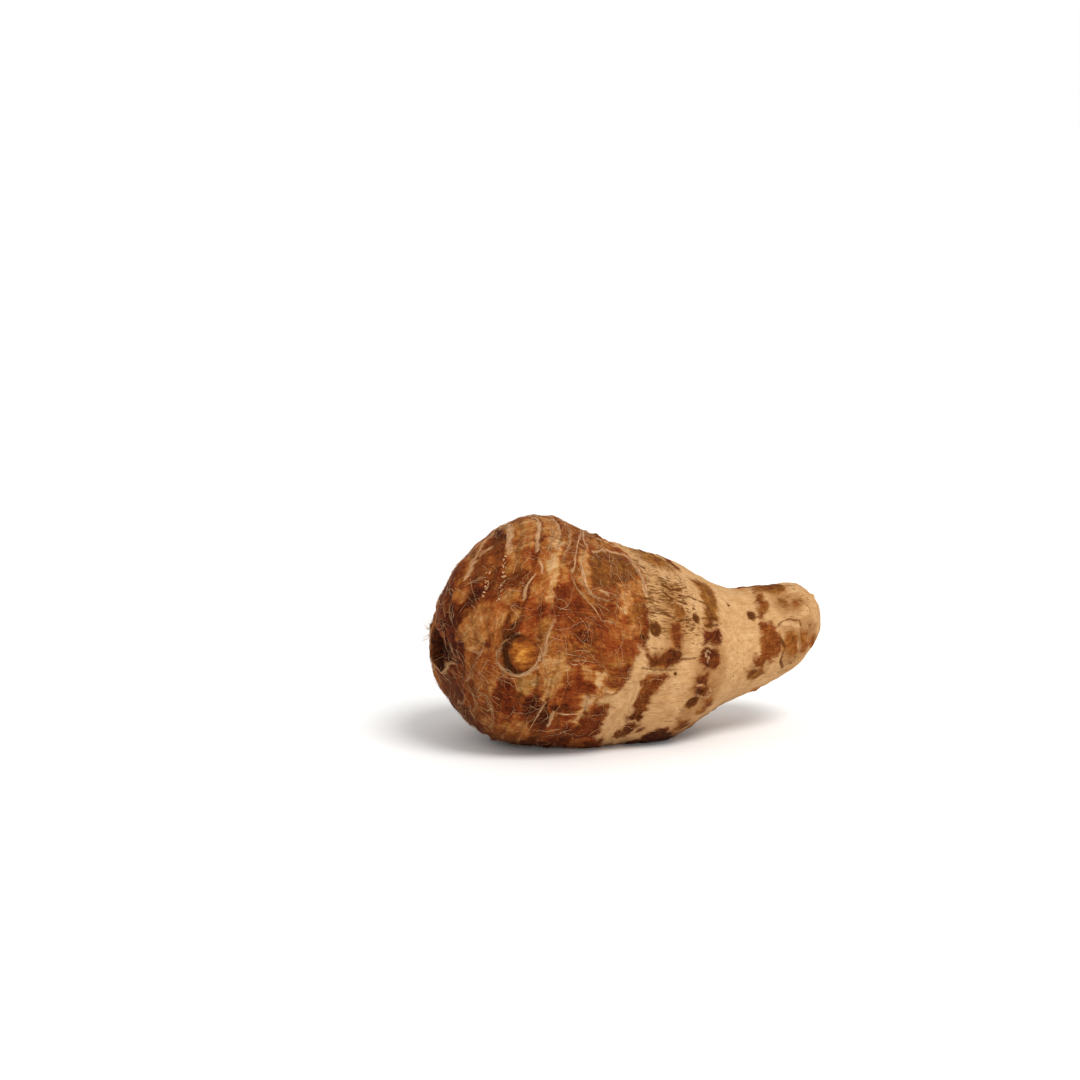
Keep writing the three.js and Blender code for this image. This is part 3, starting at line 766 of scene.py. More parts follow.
    def make_scars(self):
        """Dark round scars with a low rim, where thin roots have fallen off."""
        scar = np.zeros_like(self.along)
        for along, turn, radius in ROOT_SCARS:
            lengthwise, sideways = self.away(along, turn)
            ragged = 0.35 * radius * grain(self.grown, 0.9, 51)
            apart = (np.hypot(lengthwise, sideways) + ragged) / radius
            scar = np.maximum(scar, np.clip(1.45 - apart, 0, 1.45))
            self.rise += 0.25 * hump(apart - 1.35, 0.35) - 0.65 * np.exp(-(apart ** 2) * 1.3)
        self.fields["scar"] = scar

    def make_buds(self):
        """The orange buds with the edges of their leaves, and the pocket round the large one."""
        bud = np.zeros_like(self.along)
        for along, turn, length, width in (LARGE_BUD,) + SIDE_BUDS:
            lengthwise, sideways = self.away(along, turn)
            apart = np.hypot(lengthwise / length, sideways / width)
            bud = np.maximum(bud, np.clip(1.12 - apart - 0.1 * self.fibre, 0, 1))
            leaves = 0.16 * np.sin(2 * pi * np.hypot(lengthwise - 0.5 * length, sideways) / 1.6)
            self.rise += leaves * np.exp(-((apart / 0.85) ** 4))
        along, turn, length, width = BUD_POCKET
        lengthwise, sideways = self.away(along, turn)
        apart = np.hypot(lengthwise / length, sideways / width) + 0.05 * grain(self.grown, 1.4, 52)
        pocket = 1 - ease(apart, 0.86, 1.0)
        filled = ease(bud, 0.0, 0.25)
        # Where the pocket is empty; the material paints it near black as painted shadow
        self.fields["hollow"] = pocket * (1 - filled)
        self.rise += 0.4 * hump(apart - 1.06, 0.1) - 0.7 * self.fields["hollow"]
        self.fields["bud"] = bud
        self.make_flat_bud()

    def make_flat_bud(self):
        """A bud that never swelled: low rings round a sunken eye, with painted light on the rings and painted
        shade in the eye.
        """
        along, turn, radius = FLAT_BUD
        lengthwise, sideways = self.away(along, turn)
        apart = np.hypot(lengthwise * 1.15, sideways)
        eye = np.exp(-((apart / radius) ** 4))
        arcs = eye * np.sin(2 * pi * (apart + 0.25 * grain(self.grown, 2.0, 54)) / FLAT_BUD_RINGS)
        # Tone in step with the relief: the eye's own rings and dark spot, lighter on the ring crests as
        # painted light and darker in the sunken middle as painted shade
        self.fields["tone"] += 0.11 * arcs - 0.12 * hump(apart, 1.0) - 0.02 * eye
        self.rise += 0.15 * arcs - 0.4 * hump(apart, 0.8)

    def make_tip(self):
        """The broken end of the neck: a wrinkled scar, dark cracks and small nubs."""
        along, turn, length, width = TIP_WOUND
        lengthwise, sideways = self.away(along, turn)
        wound = np.exp(-((np.hypot(lengthwise / length, sideways / width)) ** 6))
        folds = np.sin(2 * pi * (self.ragged_along + 0.9 * grain(self.grown, 3.0, 72)) / 3.1)
        self.fields["crease"] = self.drawn(DARK_LINES)
        self.rise += 0.2 * wound * folds - 0.2 * self.fields["crease"]
        for along, turn in TIP_NUBS:
            lengthwise, sideways = self.away(along, turn)
            self.rise += 0.9 * np.exp(-(lengthwise ** 2) - sideways ** 2)

    def make_wear_and_shade(self):
        """Painted shade on the underside of the crown half, streaks on the upper neck, and where hairs grow.
        """
        crown_half = 1 - ease(self.along, 66, 80)
        # Painted shade: the underside of the crown half darkened, fading out along the neck
        self.fields["underside_shade"] = ease(-np.cos(self.angle), 0.72, 0.99) * crown_half
        upper = ease(np.cos(self.angle), -0.15, 0.6) * ease(self.along, 40, 44)
        upper = upper * (1 - ease(self.along, 56, 64))
        neck = 0.3 * ease(self.along, 44, 50) * (1 - ease(self.along, 62, 74))
        self.fields["streaks"] = np.maximum(upper, neck + 0.45 * ease(self.along, 83, 88))
        tufts = ease(grain(self.grown, 5.5, 81), -0.5, 0.8)
        on_skin = ease(self.fields["cover"], -0.5, 1.0) * (1 - ease(self.along, 44, 50))
        clear = 1 - np.maximum(ease(self.fields["bud"], 0, 0.2), self.fields["hollow"])
        self.fields["fuzz"] = on_skin * (0.25 + 0.75 * tufts) * clear * ease(self.girth, 4, 8)
        self.fields["torn"] = self.fields["fringe"] * clear * (0.3 + 0.7 * ease(self.turn, *DRAWN_SIDE))

    def place(self):
        """The points of the skin, in metres: relief along the normal, rings leant, axis bent, belly flat."""
        for along, turn, height, length, width in LUMPS:
            sideways = np.radians(apart_in_turn(self.turn, turn)) * self.girth
            self.rise += height * hump(self.along - along, length) * hump(sideways, width)
        on_cover = ease(self.fields["cover"], -0.15, 0.2)
        cork = 0.10 * grain(self.grown, 0.9, 63) + 0.12 * grain(self.grown * (1, 0.5, 0.5), 2.0, 64) + 0.15
        wrinkles = 0.10 * self.fibre + 0.07 * grain(self.grown, 1.3, 61) + 0.12 * grain(self.grown, 4.0, 62)
        pit = self.fields["pit"]
        rise = self.rise + waviness(self.along, self.angle) + on_cover * cork + wrinkles
        rise = rise + 0.55 * pit * grain(self.grown, 1.6, 65) + 0.12 * self.fields["fringe"]
        rise = rise * ease(self.girth, 0, 9)
        rise += 0.5 * pit * ease(self.girth, 0, 1.5) * grain(self.grown, 1.4, 66)
        lean = ring_lean(self.along, self.angle) * ease(self.girth, 7, 18)
        leant = self.along + lean
        whole = np.where(lean == 0, 1, body_radius(self.along))
        scale = np.where(lean == 0, 1, body_radius(leant) / np.where(whole > 0, whole, 1))
        girth = (self.girth + self.normal_out * rise) * scale
        x = self.along + self.normal_along * rise + lean - LENGTH / 2
        y = follow(AXIS_SIDE, leant / LENGTH) - girth * np.sin(self.angle)
        z = follow(AXIS_HEIGHT, leant / LENGTH) + girth * np.cos(self.angle)
        return np.stack([x, y, rest(z)], axis=-1) * MM

    def on_skin(self, along, turn):
        """Points and outward normals at places on the skin beyond the pit, in metres."""
        row = np.interp(along, self.along[self.lip_row:, 0], np.arange(self.lip_row, ROWS + 1))
        column = np.asarray(turn) / 360 * COLUMNS
        low, left = np.floor(row).astype(int).clip(1, ROWS - 2), np.floor(column).astype(int)
        down, across = (row - low)[:, None], (column - left)[:, None]

        def read(i, j):
            return self.points[i, j % COLUMNS]

        here = read(low, left) * (1 - down) * (1 - across) + read(low + 1, left) * down * (1 - across)
        here = here + read(low, left + 1) * (1 - down) * across + read(low + 1, left + 1) * down * across
        lengthwise = read(low + 2, left) - read(low - 1, left)
        sideways = read(low, left + 2) - read(low, left - 2)
        normal = np.cross(sideways, lengthwise)
        return here, normal / np.linalg.norm(normal, axis=1)[:, None]


def linear(code):
    """An sRGB hex colour as linear red, green, blue and alpha."""
    parts = [int(code[i:i + 2], 16) / 255 for i in (1, 3, 5)]
    return tuple(p / 12.92 if p <= 0.04045 else ((p + 0.055) / 1.055) ** 2.4 for p in parts) + (1.0,)


def add(tree, kind, inputs=None, out=0, stops=(), **settings):
    """Adds a node with its settings, its inputs (values or other nodes' outputs) and a ramp's stops.

    An input goes by its name, or by its place where a node has several of one name. What comes back is
    one of the node's outputs, or the node itself if it has none.
    """
    node = tree.nodes.new(kind)
    for name, value in settings.items():
        setattr(node, name, value)
    for key, value in (inputs or {}).items():
        if isinstance(value, bpy.types.NodeSocket):
            tree.links.new(value, node.inputs[key])
        else:
            node.inputs[key].default_value = value
    for i, (place, code) in enumerate(stops):
        elements = node.color_ramp.elements
        element = elements[i] if i < 2 else elements.new(place)
        element.position = place
        element.color = linear(code)
    return node.outputs[out] if len(node.outputs) > out else node


def weigh(tree, *terms):
    """The sum of values, each times a share of how far it is from its middle: (value, middle, share)."""
    total = 0.0
    for value, middle, share in terms:
        inputs = {0: value, 1: share, 2: -middle * share}
        scaled = add(tree, "ShaderNodeMath", inputs, operation="MULTIPLY_ADD")
        total = add(tree, "ShaderNodeMath", {0: total, 1: scaled}, operation="ADD")
    return total


def layer(tree, colour, *coats):
    """Coats of colour over a colour: each a mask from 0 to 1, its strength and its colour."""
    for mask, strength, tint in coats:
        cover = add(tree, "ShaderNodeMath", {0: mask, 1: strength}, operation="MULTIPLY", use_clamp=True)
        colour = add(tree, "ShaderNodeMix", {0: cover, 6: colour, 7: tint}, out=2, data_type="RGBA")
    return colour


def broken(tree, field, noise, share, low, high):
    """A mask from a field, broken up by a noise, that is 0 wherever the field is."""
    patchy = weigh(tree, (noise, 0.5, share), (1.0, 0.0, 1.0))
    uneven = add(tree, "ShaderNodeMath", {0: field, 1: patchy}, operation="MULTIPLY")
    return add(tree, "ShaderNodeMapRange", {0: uneven, 1: low, 2: high})


def patterns(tree, vector, table):
    """Noises by name, from a feature size in millimetres, a stretch along the root, detail and roughness."""
    found = {}
    for name, size, stretch, across, detail, roughness in table:
        scale = (1 / (size * stretch), 1 / (size * across), 1 / (size * across))
        shift = (len(found) * NOISE_SHIFT,) * 3
        moved = add(tree, "ShaderNodeMapping", {"Vector": vector, "Scale": scale, "Location": shift})
        found[name] = add(tree, "ShaderNodeTexNoise", {
            "Vector": moved, "Scale": 1.0, "Detail": detail, "Roughness": roughness})
    return found


def under_skin(tree, noise, read):
    """Bare under-skin: smooth cream with fine lengthwise wrinkles and dark streaks where it has dried."""
    mottled = weigh(tree, (noise["mottle"], 0.0, 1.0), (noise["speck"], 0.5, 0.45),
                    (noise["long fibres"], 0.5, 0.35))
    cream = add(tree, "ShaderNodeValToRGB", {"Fac": mottled}, stops=(
        (0.22, "#A97C4E"), (0.5, "#BF9465"), (0.78, "#CAA373")))
    dried = weigh(tree, (noise["broad"], 0.5, 1.6), (noise["blotch"], 0.5, 1.0), (read["streaks"], 0.6, 0.5))
    tan_film = add(tree, "ShaderNodeMapRange", {0: dried, 1: -0.15, 2: 0.35})
    mottled_film = weigh(tree, (noise["mottle"], 0.3, 1.2), (noise["long fibres"], 0.3, 1.4))
    brown_film = add(tree, "ShaderNodeMath", {0: read["film"], 1: mottled_film}, operation="MULTIPLY")
    wrinkle = add(tree, "ShaderNodeMapRange", {0: noise["long fibres"], 1: 0.48, 2: 0.36})
    lines = weigh(tree, (noise["streak"], 0.5, -1.2), (read["streaks"], 0.5, 0.3),
                  (noise["mottle"], 0.5, 0.6), (noise["broad"], 0.5, 0.4), (noise["short fibres"], 0.5, 0.3))
    streak = add(tree, "ShaderNodeMapRange", {0: lines, 1: 0.09, 2: 0.27})
    return layer(tree, cream,
                 (tan_film, 0.42, linear("#A0713F")),
                 (brown_film, 1.0, linear("#875628")),
                 (wrinkle, 0.35, linear("#8E6136")),
                 (streak, 0.88, linear("#5C3206")))


def outer_skin(tree, noise, read, depth):
    """Brown outer skin: papery and corky, purple black to tan, in a red and an olive cast."""
    thin = add(tree, "ShaderNodeMapRange", {0: depth, 1: 0.9, 2: 0.1, 3: 0.0, 4: 0.10})
    shade = weigh(tree, (read["tone"], 0.0, 1.0), (thin, 0.0, 1.0), (noise["long fibres"], 0.5, 0.6),
                  (noise["cross lines"], 0.5, 0.3), (noise["speck"], 0.5, 0.4), (noise["mottle"], 0.5, 0.5),
                  (noise["blotch"], 0.5, 0.4), (noise["broad"], 0.5, 0.2))
    red = add(tree, "ShaderNodeValToRGB", {"Fac": shade}, stops=(
        (0.0, "#1A0402"), (0.2, "#400F05"), (0.4, "#68260B"), (0.6, "#873E17"), (0.76, "#9E5C2B"),
        (0.88, "#AF7645"), (1.0, "#C2946A")))
    olive = add(tree, "ShaderNodeValToRGB", {"Fac": shade}, stops=(
        (0.0, "#1C0C03"), (0.2, "#3F1E07"), (0.4, "#613614"), (0.6, "#82501F"), (0.76, "#9A6830"),
        (0.88, "#AE8149"), (1.0, "#C09A6C")))
    cast = weigh(tree, (read["hue"], 0.0, 1.0), (noise["mottle"], 0.5, 1.2), (noise["speck"], 0.5, 0.4))
    return layer(tree, red, (cast, 1.0, olive))


def bud_coat(tree, noise, read):
    """A bud's orange leaves, brightest in its middle as a painted highlight and darker at its foot as painted
    shade: the mask and the colour.
    """
    # Painted highlight and shade: the bud's colour follows its dome, bright in the middle and dark at its
    # foot
    dome_light_and_shade = weigh(tree, (read["bud"], 0.5, 0.5), (noise["blotch"], 0.0, 0.9), (noise["long fibres"], 0.5, 0.6))
    orange = add(tree, "ShaderNodeValToRGB", {"Fac": dome_light_and_shade}, stops=(
        (0.2, "#58270C"), (0.38, "#7E4015"), (0.55, "#A05F21"), (0.78, "#C4863C")))
    return add(tree, "ShaderNodeMapRange", {0: read["bud"], 1: 0.03, 2: 0.22}), orange


def scar_coat(tree, noise, read):
    """A fallen root's dark brown scar, lighter at its rim and middle: the mask and the colour."""
    sunk = weigh(tree, (read["scar"], 0.0, 0.6), (noise["speck"], 0.5, 0.5))
    brown = add(tree, "ShaderNodeValToRGB", {"Fac": sunk}, stops=(
        (0.05, "#7E501E"), (0.3, "#572A07"), (0.6, "#441E03"), (0.9, "#74420F")))
    edge = weigh(tree, (read["scar"], 0.0, 1.0), (noise["speck"], 0.5, 0.8))
    return add(tree, "ShaderNodeMapRange", {0: edge, 1: 0.0, 2: 0.4}), brown


def fleck_mask(tree, noise, read):
    """Where small pale flecks of dry film show, well inside the brown skin."""
    flecks = weigh(tree, (noise["speck"], 0.5, 1.0), (noise["blotch"], 0.5, 0.6))
    flecks = add(tree, "ShaderNodeMapRange", {0: flecks, 1: 0.165, 2: 0.26})
    well_inside = add(tree, "ShaderNodeMapRange", {0: read["cover"], 1: 1.2, 2: 3.0})
    return add(tree, "ShaderNodeMath", {0: flecks, 1: well_inside}, operation="MULTIPLY")


def empty_material(name):
    """A material and its node tree, with no nodes in it yet."""
    material = bpy.data.materials.new(name)
    material.use_nodes = True
    material.node_tree.nodes.clear()
    return material, material.node_tree


def root_skin_material():
    """Dry taro root skin, grown: matte brown corky film in blocks, torn off the cream under-skin."""
    material, tree = empty_material("taro_root_skin_dried")
    read = {name: add(tree, "ShaderNodeAttribute", out=2, attribute_name=name) for name in SKIN_FIELDS}
    grown = add(tree, "ShaderNodeAttribute", out=1, attribute_name="grown")
    noise = patterns(tree, grown, SKIN_NOISES)

    depth = weigh(tree, (read["cover"], 0.0, 1.0), (noise["short fibres"], 0.5, 1.4),
                  (noise["mottle"], 0.5, 2.2), (noise["streak"], 0.5, 1.2))
    on_skin = add(tree, "ShaderNodeMapRange", {0: depth, 1: -0.5, 2: 0.45})
    rim = add(tree, "ShaderNodeMapRange", {0: depth, 1: -1.1, 2: -0.1, 3: 0.0, 4: 0.38})
    on_bud, orange = bud_coat(tree, noise, read)
    on_scar, scar = scar_coat(tree, noise, read)
    # Near black to dark brown, for the pocket round the large bud and the crown pit: painted shade in both
    # hollows, over the pit's own dark brown
    pit = add(tree, "ShaderNodeValToRGB", {"Fac": noise["blotch"]}, stops=(
        (0.3, "#150300"), (0.55, "#320F04"), (0.75, "#5A2208")))
    colour = layer(tree, under_skin(tree, noise, read),
                   (rim, 1.0, linear("#8A5C30")),
                   (on_skin, 1.0, outer_skin(tree, noise, read, depth)),
                   (fleck_mask(tree, noise, read), 0.6, linear("#BC8D59")),
                   # Painted shade in the grooves beside the crown rings
                   (broken(tree, read["groove_shade"], noise["speck"], 1.4, 0.3, 0.9), 0.4, linear("#3A1808")),
                   (broken(tree, read["fringe"], noise["speck"], 2.0, 0.2, 0.8), 0.75, linear("#C89C70")),
                   # Painted shadow in the empty pocket round the large bud
                   (read["hollow"], 0.9, pit),
                   (on_bud, 1.0, orange),
                   # The crown pit: its own dark brown, deepened with painted shade
                   (read["pit"], 1.0, pit),
                   (on_scar, 0.95, scar),
                   (broken(tree, read["crease"], noise["speck"], 2.2, 0.16, 0.6), 0.85, linear("#542A05")),
                   # Painted shade: the underside of the crown half darkened
                   (read["underside_shade"], 0.6, linear("#3E1D0F")))

    relief = weigh(tree, (noise["long fibres"], 0.0, 0.6), (noise["speck"], 0.0, 0.4),
                   (noise["cross lines"], 0.0, 0.3), (on_skin, 0.0, 0.4), (noise["blotch"], 0.0, 0.5))
    bump = add(tree, "ShaderNodeBump", {"Height": relief, "Strength": 0.75, "Distance": SKIN_RELIEF * MM})
    shader = add(tree, "ShaderNodeBsdfPrincipled", {
        "Base Color": colour, "Roughness": 0.78, "Normal": bump, "IOR": 1.45, "Specular IOR Level": 0.06})
    add(tree, "ShaderNodeOutputMaterial", {"Surface": shader})
    return material


def root_fibre_material():
    """Dry plant fibre, torn: pale straw to brown strands with a faint sheen, each of its own shade."""
    material, tree = empty_material("taro_fibre_torn")
    own = add(tree, "ShaderNodeAttribute", out=2, attribute_name="shade")
    place = add(tree, "ShaderNodeTexCoord", out=3)
    patchy = add(tree, "ShaderNodeTexNoise", {"Vector": place, "Scale": FIBRE_SHADES / MM, "Detail": 2.0})
    shade = weigh(tree, (own, 0.0, 1.0), (patchy, 0.5, 0.5))
    colour = add(tree, "ShaderNodeValToRGB", {"Fac": shade}, stops=(
        (0.0, "#4A2410"), (0.3, "#864F26"), (0.6, "#B88A5C"), (1.0, "#DAB288")))
    shader = add(tree, "ShaderNodeBsdfPrincipled", {
        "Base Color": colour, "Roughness": 0.65, "IOR": 1.5, "Specular IOR Level": 0.15})
    add(tree, "ShaderNodeOutputMaterial", {"Surface": shader})
    return material


def floor_material(colour):
    """Matte paint: an even pale ground with no gloss."""
    material = bpy.data.materials.new("floor_matte_paint")
    material.use_nodes = True
    shader = material.node_tree.nodes["Principled BSDF"]
    shader.inputs["Base Color"].default_value = colour
    shader.inputs["Roughness"].default_value = 0.9
    return material


def store(mesh, name, values, kind="FLOAT"):
    """Keeps a field on the points of the skin's mesh; the rows at the poles shrink to one point."""
    flat = np.concatenate([values[:1, 0], values[1:-1].reshape(-1, *values.shape[2:]), values[-1:, 0]])
    attribute = mesh.attributes.new(name, kind, "POINT")
    key = "vector" if kind == "FLOAT_VECTOR" else "value"
    attribute.data.foreach_set(key, flat.astype(np.float32).ravel())


def wall_faces(index, first, last):
    """Faces of a closed wall round a grid of points, with a fan to one more point at either end."""
    turned = np.roll(index, -1, axis=1)
    quads = np.stack([index[:-1], turned[:-1], turned[1:], index[1:]], axis=-1).reshape(-1, 4)
    faces = [tuple(quad) for quad in quads.tolist()]
    faces += [(first, b, a) for a, b in zip(index[0].tolist(), turned[0].tolist())]
    faces += [(last, a, b) for a, b in zip(index[-1].tolist(), turned[-1].tolist())]
    return faces


def smooth_mesh(name, points, faces):
    """A mesh from points and faces, shaded smooth."""
    mesh = bpy.data.meshes.new(name)
    mesh.from_pydata(points.tolist(), [], faces)
    mesh.update()
    mesh.shade_smooth()
    return mesh


def skin_mesh(skin, name):
    """The skin as a closed mesh; the rows at the poles shrink to one point."""
    grid = skin.points
    points = np.concatenate([grid[0, :1], grid[1:-1].reshape(-1, 3), grid[-1, :1]])
    index = 1 + np.arange((ROWS - 1) * COLUMNS).reshape(ROWS - 1, COLUMNS)
    return smooth_mesh(name, points, wall_faces(index, 0, len(points) - 1))


def show(mesh, material):
    """Puts a finished mesh in the scene as a piece that rides on the root."""
    mesh.materials.clear()
    mesh.materials.append(material)
    piece = bpy.data.objects.new(mesh.name, mesh)
    bpy.context.scene.collection.objects.link(piece)
    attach(piece, "root")
    return piece


def fibre_tree(material):
    """Geometry nodes that lay fibres on a skin, by a density field, and leave only the fibres."""
    tree = bpy.data.node_groups.new("lying_fibres", "GeometryNodeTree")
    tree.interface.new_socket("Geometry", in_out="INPUT", socket_type="NodeSocketGeometry")
    for name, kind, value in (
            ("Where", "String", "fuzz"), ("Per square metre", "Float", 1.0), ("Length", "Float", 0.005),
            ("Width", "Float", 0.00015), ("Curl", "Float", 0.002), ("Lift", "Float", 0.0002),
            ("Spread", "Float", pi), ("Darkest", "Float", 0.0), ("Palest", "Float", 1.0),
            ("Seed", "Int", SEED)):
        socket = tree.interface.new_socket(name, in_out="INPUT", socket_type="NodeSocket" + kind)
        socket.default_value = value
    tree.interface.new_socket("Geometry", in_out="OUTPUT", socket_type="NodeSocketGeometry")
    given = {socket.name: socket for socket in add(tree, "NodeGroupInput").node.outputs}
    lines = laid_down(tree, given, scattered_lines(tree, given))
    tubes = add(tree, "GeometryNodeRealizeInstances", {0: thickened(tree, given, lines)})
    done = add(tree, "GeometryNodeSetMaterial", {0: tubes, 2: material})
    add(tree, "NodeGroupOutput", {0: done})
    return tree


def scattered_lines(tree, given):
    """Straight lines on the skin, each with a shade, a heading and a length of its own."""
    where = add(tree, "GeometryNodeInputNamedAttribute", {0: given["Where"]}, data_type="FLOAT")
    density = add(tree, "ShaderNodeMath", {0: where, 1: given["Per square metre"]}, operation="MULTIPLY")
    points = add(tree, "GeometryNodeDistributePointsOnFaces", {
        0: given["Geometry"], 4: density, 6: given["Seed"]})
    outward = points.node.outputs[1]
    shade = add(tree, "FunctionNodeRandomValue", {2: given["Darkest"], 3: given["Palest"], 8: 11}, out=1)
    points = add(tree, "GeometryNodeStoreNamedAttribute", {0: points, 2: "shade", 3: shade},
                 data_type="FLOAT", domain="POINT")

    lengthwise = add(tree, "GeometryNodeInputNamedAttribute", {0: "lengthwise"}, data_type="FLOAT_VECTOR")
    aim = add(tree, "FunctionNodeAlignRotationToVector", {2: outward}, axis="Z")
    aim = add(tree, "FunctionNodeAlignRotationToVector", {0: aim, 2: lengthwise}, axis="X", pivot_axis="Z")
    back = add(tree, "ShaderNodeMath", {0: given["Spread"], 1: -1.0}, operation="MULTIPLY")
    angle = add(tree, "FunctionNodeRandomValue", {2: back, 3: given["Spread"], 8: 12}, out=1)
    turn = add(tree, "FunctionNodeAxisAngleToRotation", {0: (0, 0, 1), 1: angle})
    aim = add(tree, "FunctionNodeRotateRotation", {0: aim, 1: turn}, rotation_space="LOCAL")
    size = add(tree, "FunctionNodeRandomValue", {2: 0.35, 3: 1.0, 8: 13}, out=1)
    size = add(tree, "ShaderNodeMath", {0: size, 1: given["Length"]}, operation="MULTIPLY")
    line = add(tree, "GeometryNodeCurvePrimitiveLine", {0: (-0.5, 0, 0), 1: (0.5, 0, 0)})
    line = add(tree, "GeometryNodeResampleCurve", {0: line, 2: FIBRE_POINTS})
    lines = add(tree, "GeometryNodeInstanceOnPoints", {0: points, 2: line, 5: aim, 6: size})
    return add(tree, "GeometryNodeRealizeInstances", {0: lines})


def laid_down(tree, given, lines):
    """The lines bent, each by a noise of its own, laid on the skin and kept just above the floor."""
    skin = given["Geometry"]
    position = add(tree, "GeometryNodeInputPosition")
    own = add(tree, "GeometryNodeInputNamedAttribute", {0: "shade"}, data_type="FLOAT")
    own = add(tree, "ShaderNodeMath", {0: own, 1: FIBRE_APART}, operation="MULTIPLY")
    wave = add(tree, "ShaderNodeTexNoise", {0: position, 1: own, 2: FIBRE_BENDS / MM, 3: 1.0}, out=1,
               noise_dimensions="4D")
    wave = add(tree, "ShaderNodeVectorMath", {0: wave, 1: (0.5, 0.5, 0.5)}, operation="SUBTRACT")
    curl = add(tree, "ShaderNodeVectorMath", {0: wave, 3: given["Curl"]}, operation="SCALE")
    moved = add(tree, "ShaderNodeVectorMath", {0: position, 1: curl}, operation="ADD")
    foot = add(tree, "GeometryNodeSampleNearestSurface", {0: skin, 1: position, 3: moved},
               data_type="FLOAT_VECTOR")
    outward = add(tree, "GeometryNodeInputNormal")
    outward = add(tree, "GeometryNodeSampleNearestSurface", {0: skin, 1: outward, 3: moved},
                  data_type="FLOAT_VECTOR")
    bounce = add(tree, "ShaderNodeTexNoise", {0: position, 1: own, 2: FIBRE_LIFTS / MM, 3: 0.0},
                 noise_dimensions="4D")
    bounce = add(tree, "ShaderNodeMapRange", {0: bounce, 1: 0.35, 2: 0.75, 3: 0.25, 4: 1.6})
    lift = add(tree, "ShaderNodeMath", {0: bounce, 1: given["Lift"]}, operation="MULTIPLY")
    lift = add(tree, "ShaderNodeVectorMath", {0: outward, 3: lift}, operation="SCALE")
    lying = add(tree, "ShaderNodeVectorMath", {0: foot, 1: lift}, operation="ADD")
    lowest = (-1.0, -1.0, FIBRE_LOWEST * MM)
    lying = add(tree, "ShaderNodeVectorMath", {0: lying, 1: lowest}, operation="MAXIMUM")
    return add(tree, "GeometryNodeSetPosition", {0: lines, 2: lying})


def thickened(tree, given, lines):
    """Closed tubes along the lines, thinner towards one end."""
    along = add(tree, "GeometryNodeSplineParameter")
    taper = add(tree, "ShaderNodeMapRange", {0: along, 1: 0.3, 2: 1.0, 3: 1.0, 4: 0.25})
    half = add(tree, "ShaderNodeMath", {0: taper, 1: given["Width"]}, operation="MULTIPLY")
    ring = add(tree, "GeometryNodeCurvePrimitiveCircle", {0: FIBRE_SIDES, 4: 0.5})
    return add(tree, "GeometryNodeCurveToMesh", {0: lines, 1: ring, 2: half, 3: True})


def grow_fibres(skin, tree, name, values):
    """A mesh of fibres grown on the skin by the geometry nodes, with the values for their inputs."""
    mesh = skin_mesh(skin, name + "_ground")
    for field in ("fuzz", "torn"):
        store(mesh, field, skin.fields[field])
    step = np.gradient(skin.points, axis=0)
    store(mesh, "lengthwise", step / np.linalg.norm(step, axis=-1)[..., None].clip(1e-9), "FLOAT_VECTOR")
    ground = bpy.data.objects.new(name + "_ground", mesh)
    bpy.context.scene.collection.objects.link(ground)
    modifier = ground.modifiers.new("fibres", "NODES")
    modifier.node_group = tree
    for item in tree.interface.items_tree:
        if item.name in values:
            modifier[item.identifier] = values[item.name]
    bpy.context.view_layer.update()
    evaluated = ground.evaluated_get(bpy.context.evaluated_depsgraph_get())
    grown = bpy.data.meshes.new_from_object(evaluated)
    ground.modifiers.clear()
    bpy.data.objects.remove(ground)
    bpy.data.meshes.remove(mesh)
    if not grown.polygons:
        raise RuntimeError("no fibres grew for " + name)
    grown.name = name
    return grown


def tube(path, outward, radii):
    """Points and faces of a closed tube along a path, with a radius at each of its points."""
    step = np.gradient(path, axis=0)
    step /= np.linalg.norm(step, axis=1)[:, None].clip(1e-12)
    across = np.cross(step, outward)
    across /= np.linalg.norm(across, axis=1)[:, None].clip(1e-12)
    up = np.cross(across, step)
    angle = np.linspace(0, 2 * pi, STRAND_SIDES, endpoint=False)[None, :, None]
    spokes = np.cos(angle) * across[:, None] + np.sin(angle) * up[:, None]
    rings = path[:, None] + radii[:, None, None] * spokes
    points = np.concatenate([rings.reshape(-1, 3), path[:1], path[-1:]])
    index = np.arange(len(path) * STRAND_SIDES).reshape(-1, STRAND_SIDES)
    return points, wall_faces(index, len(points) - 2, len(points) - 1)


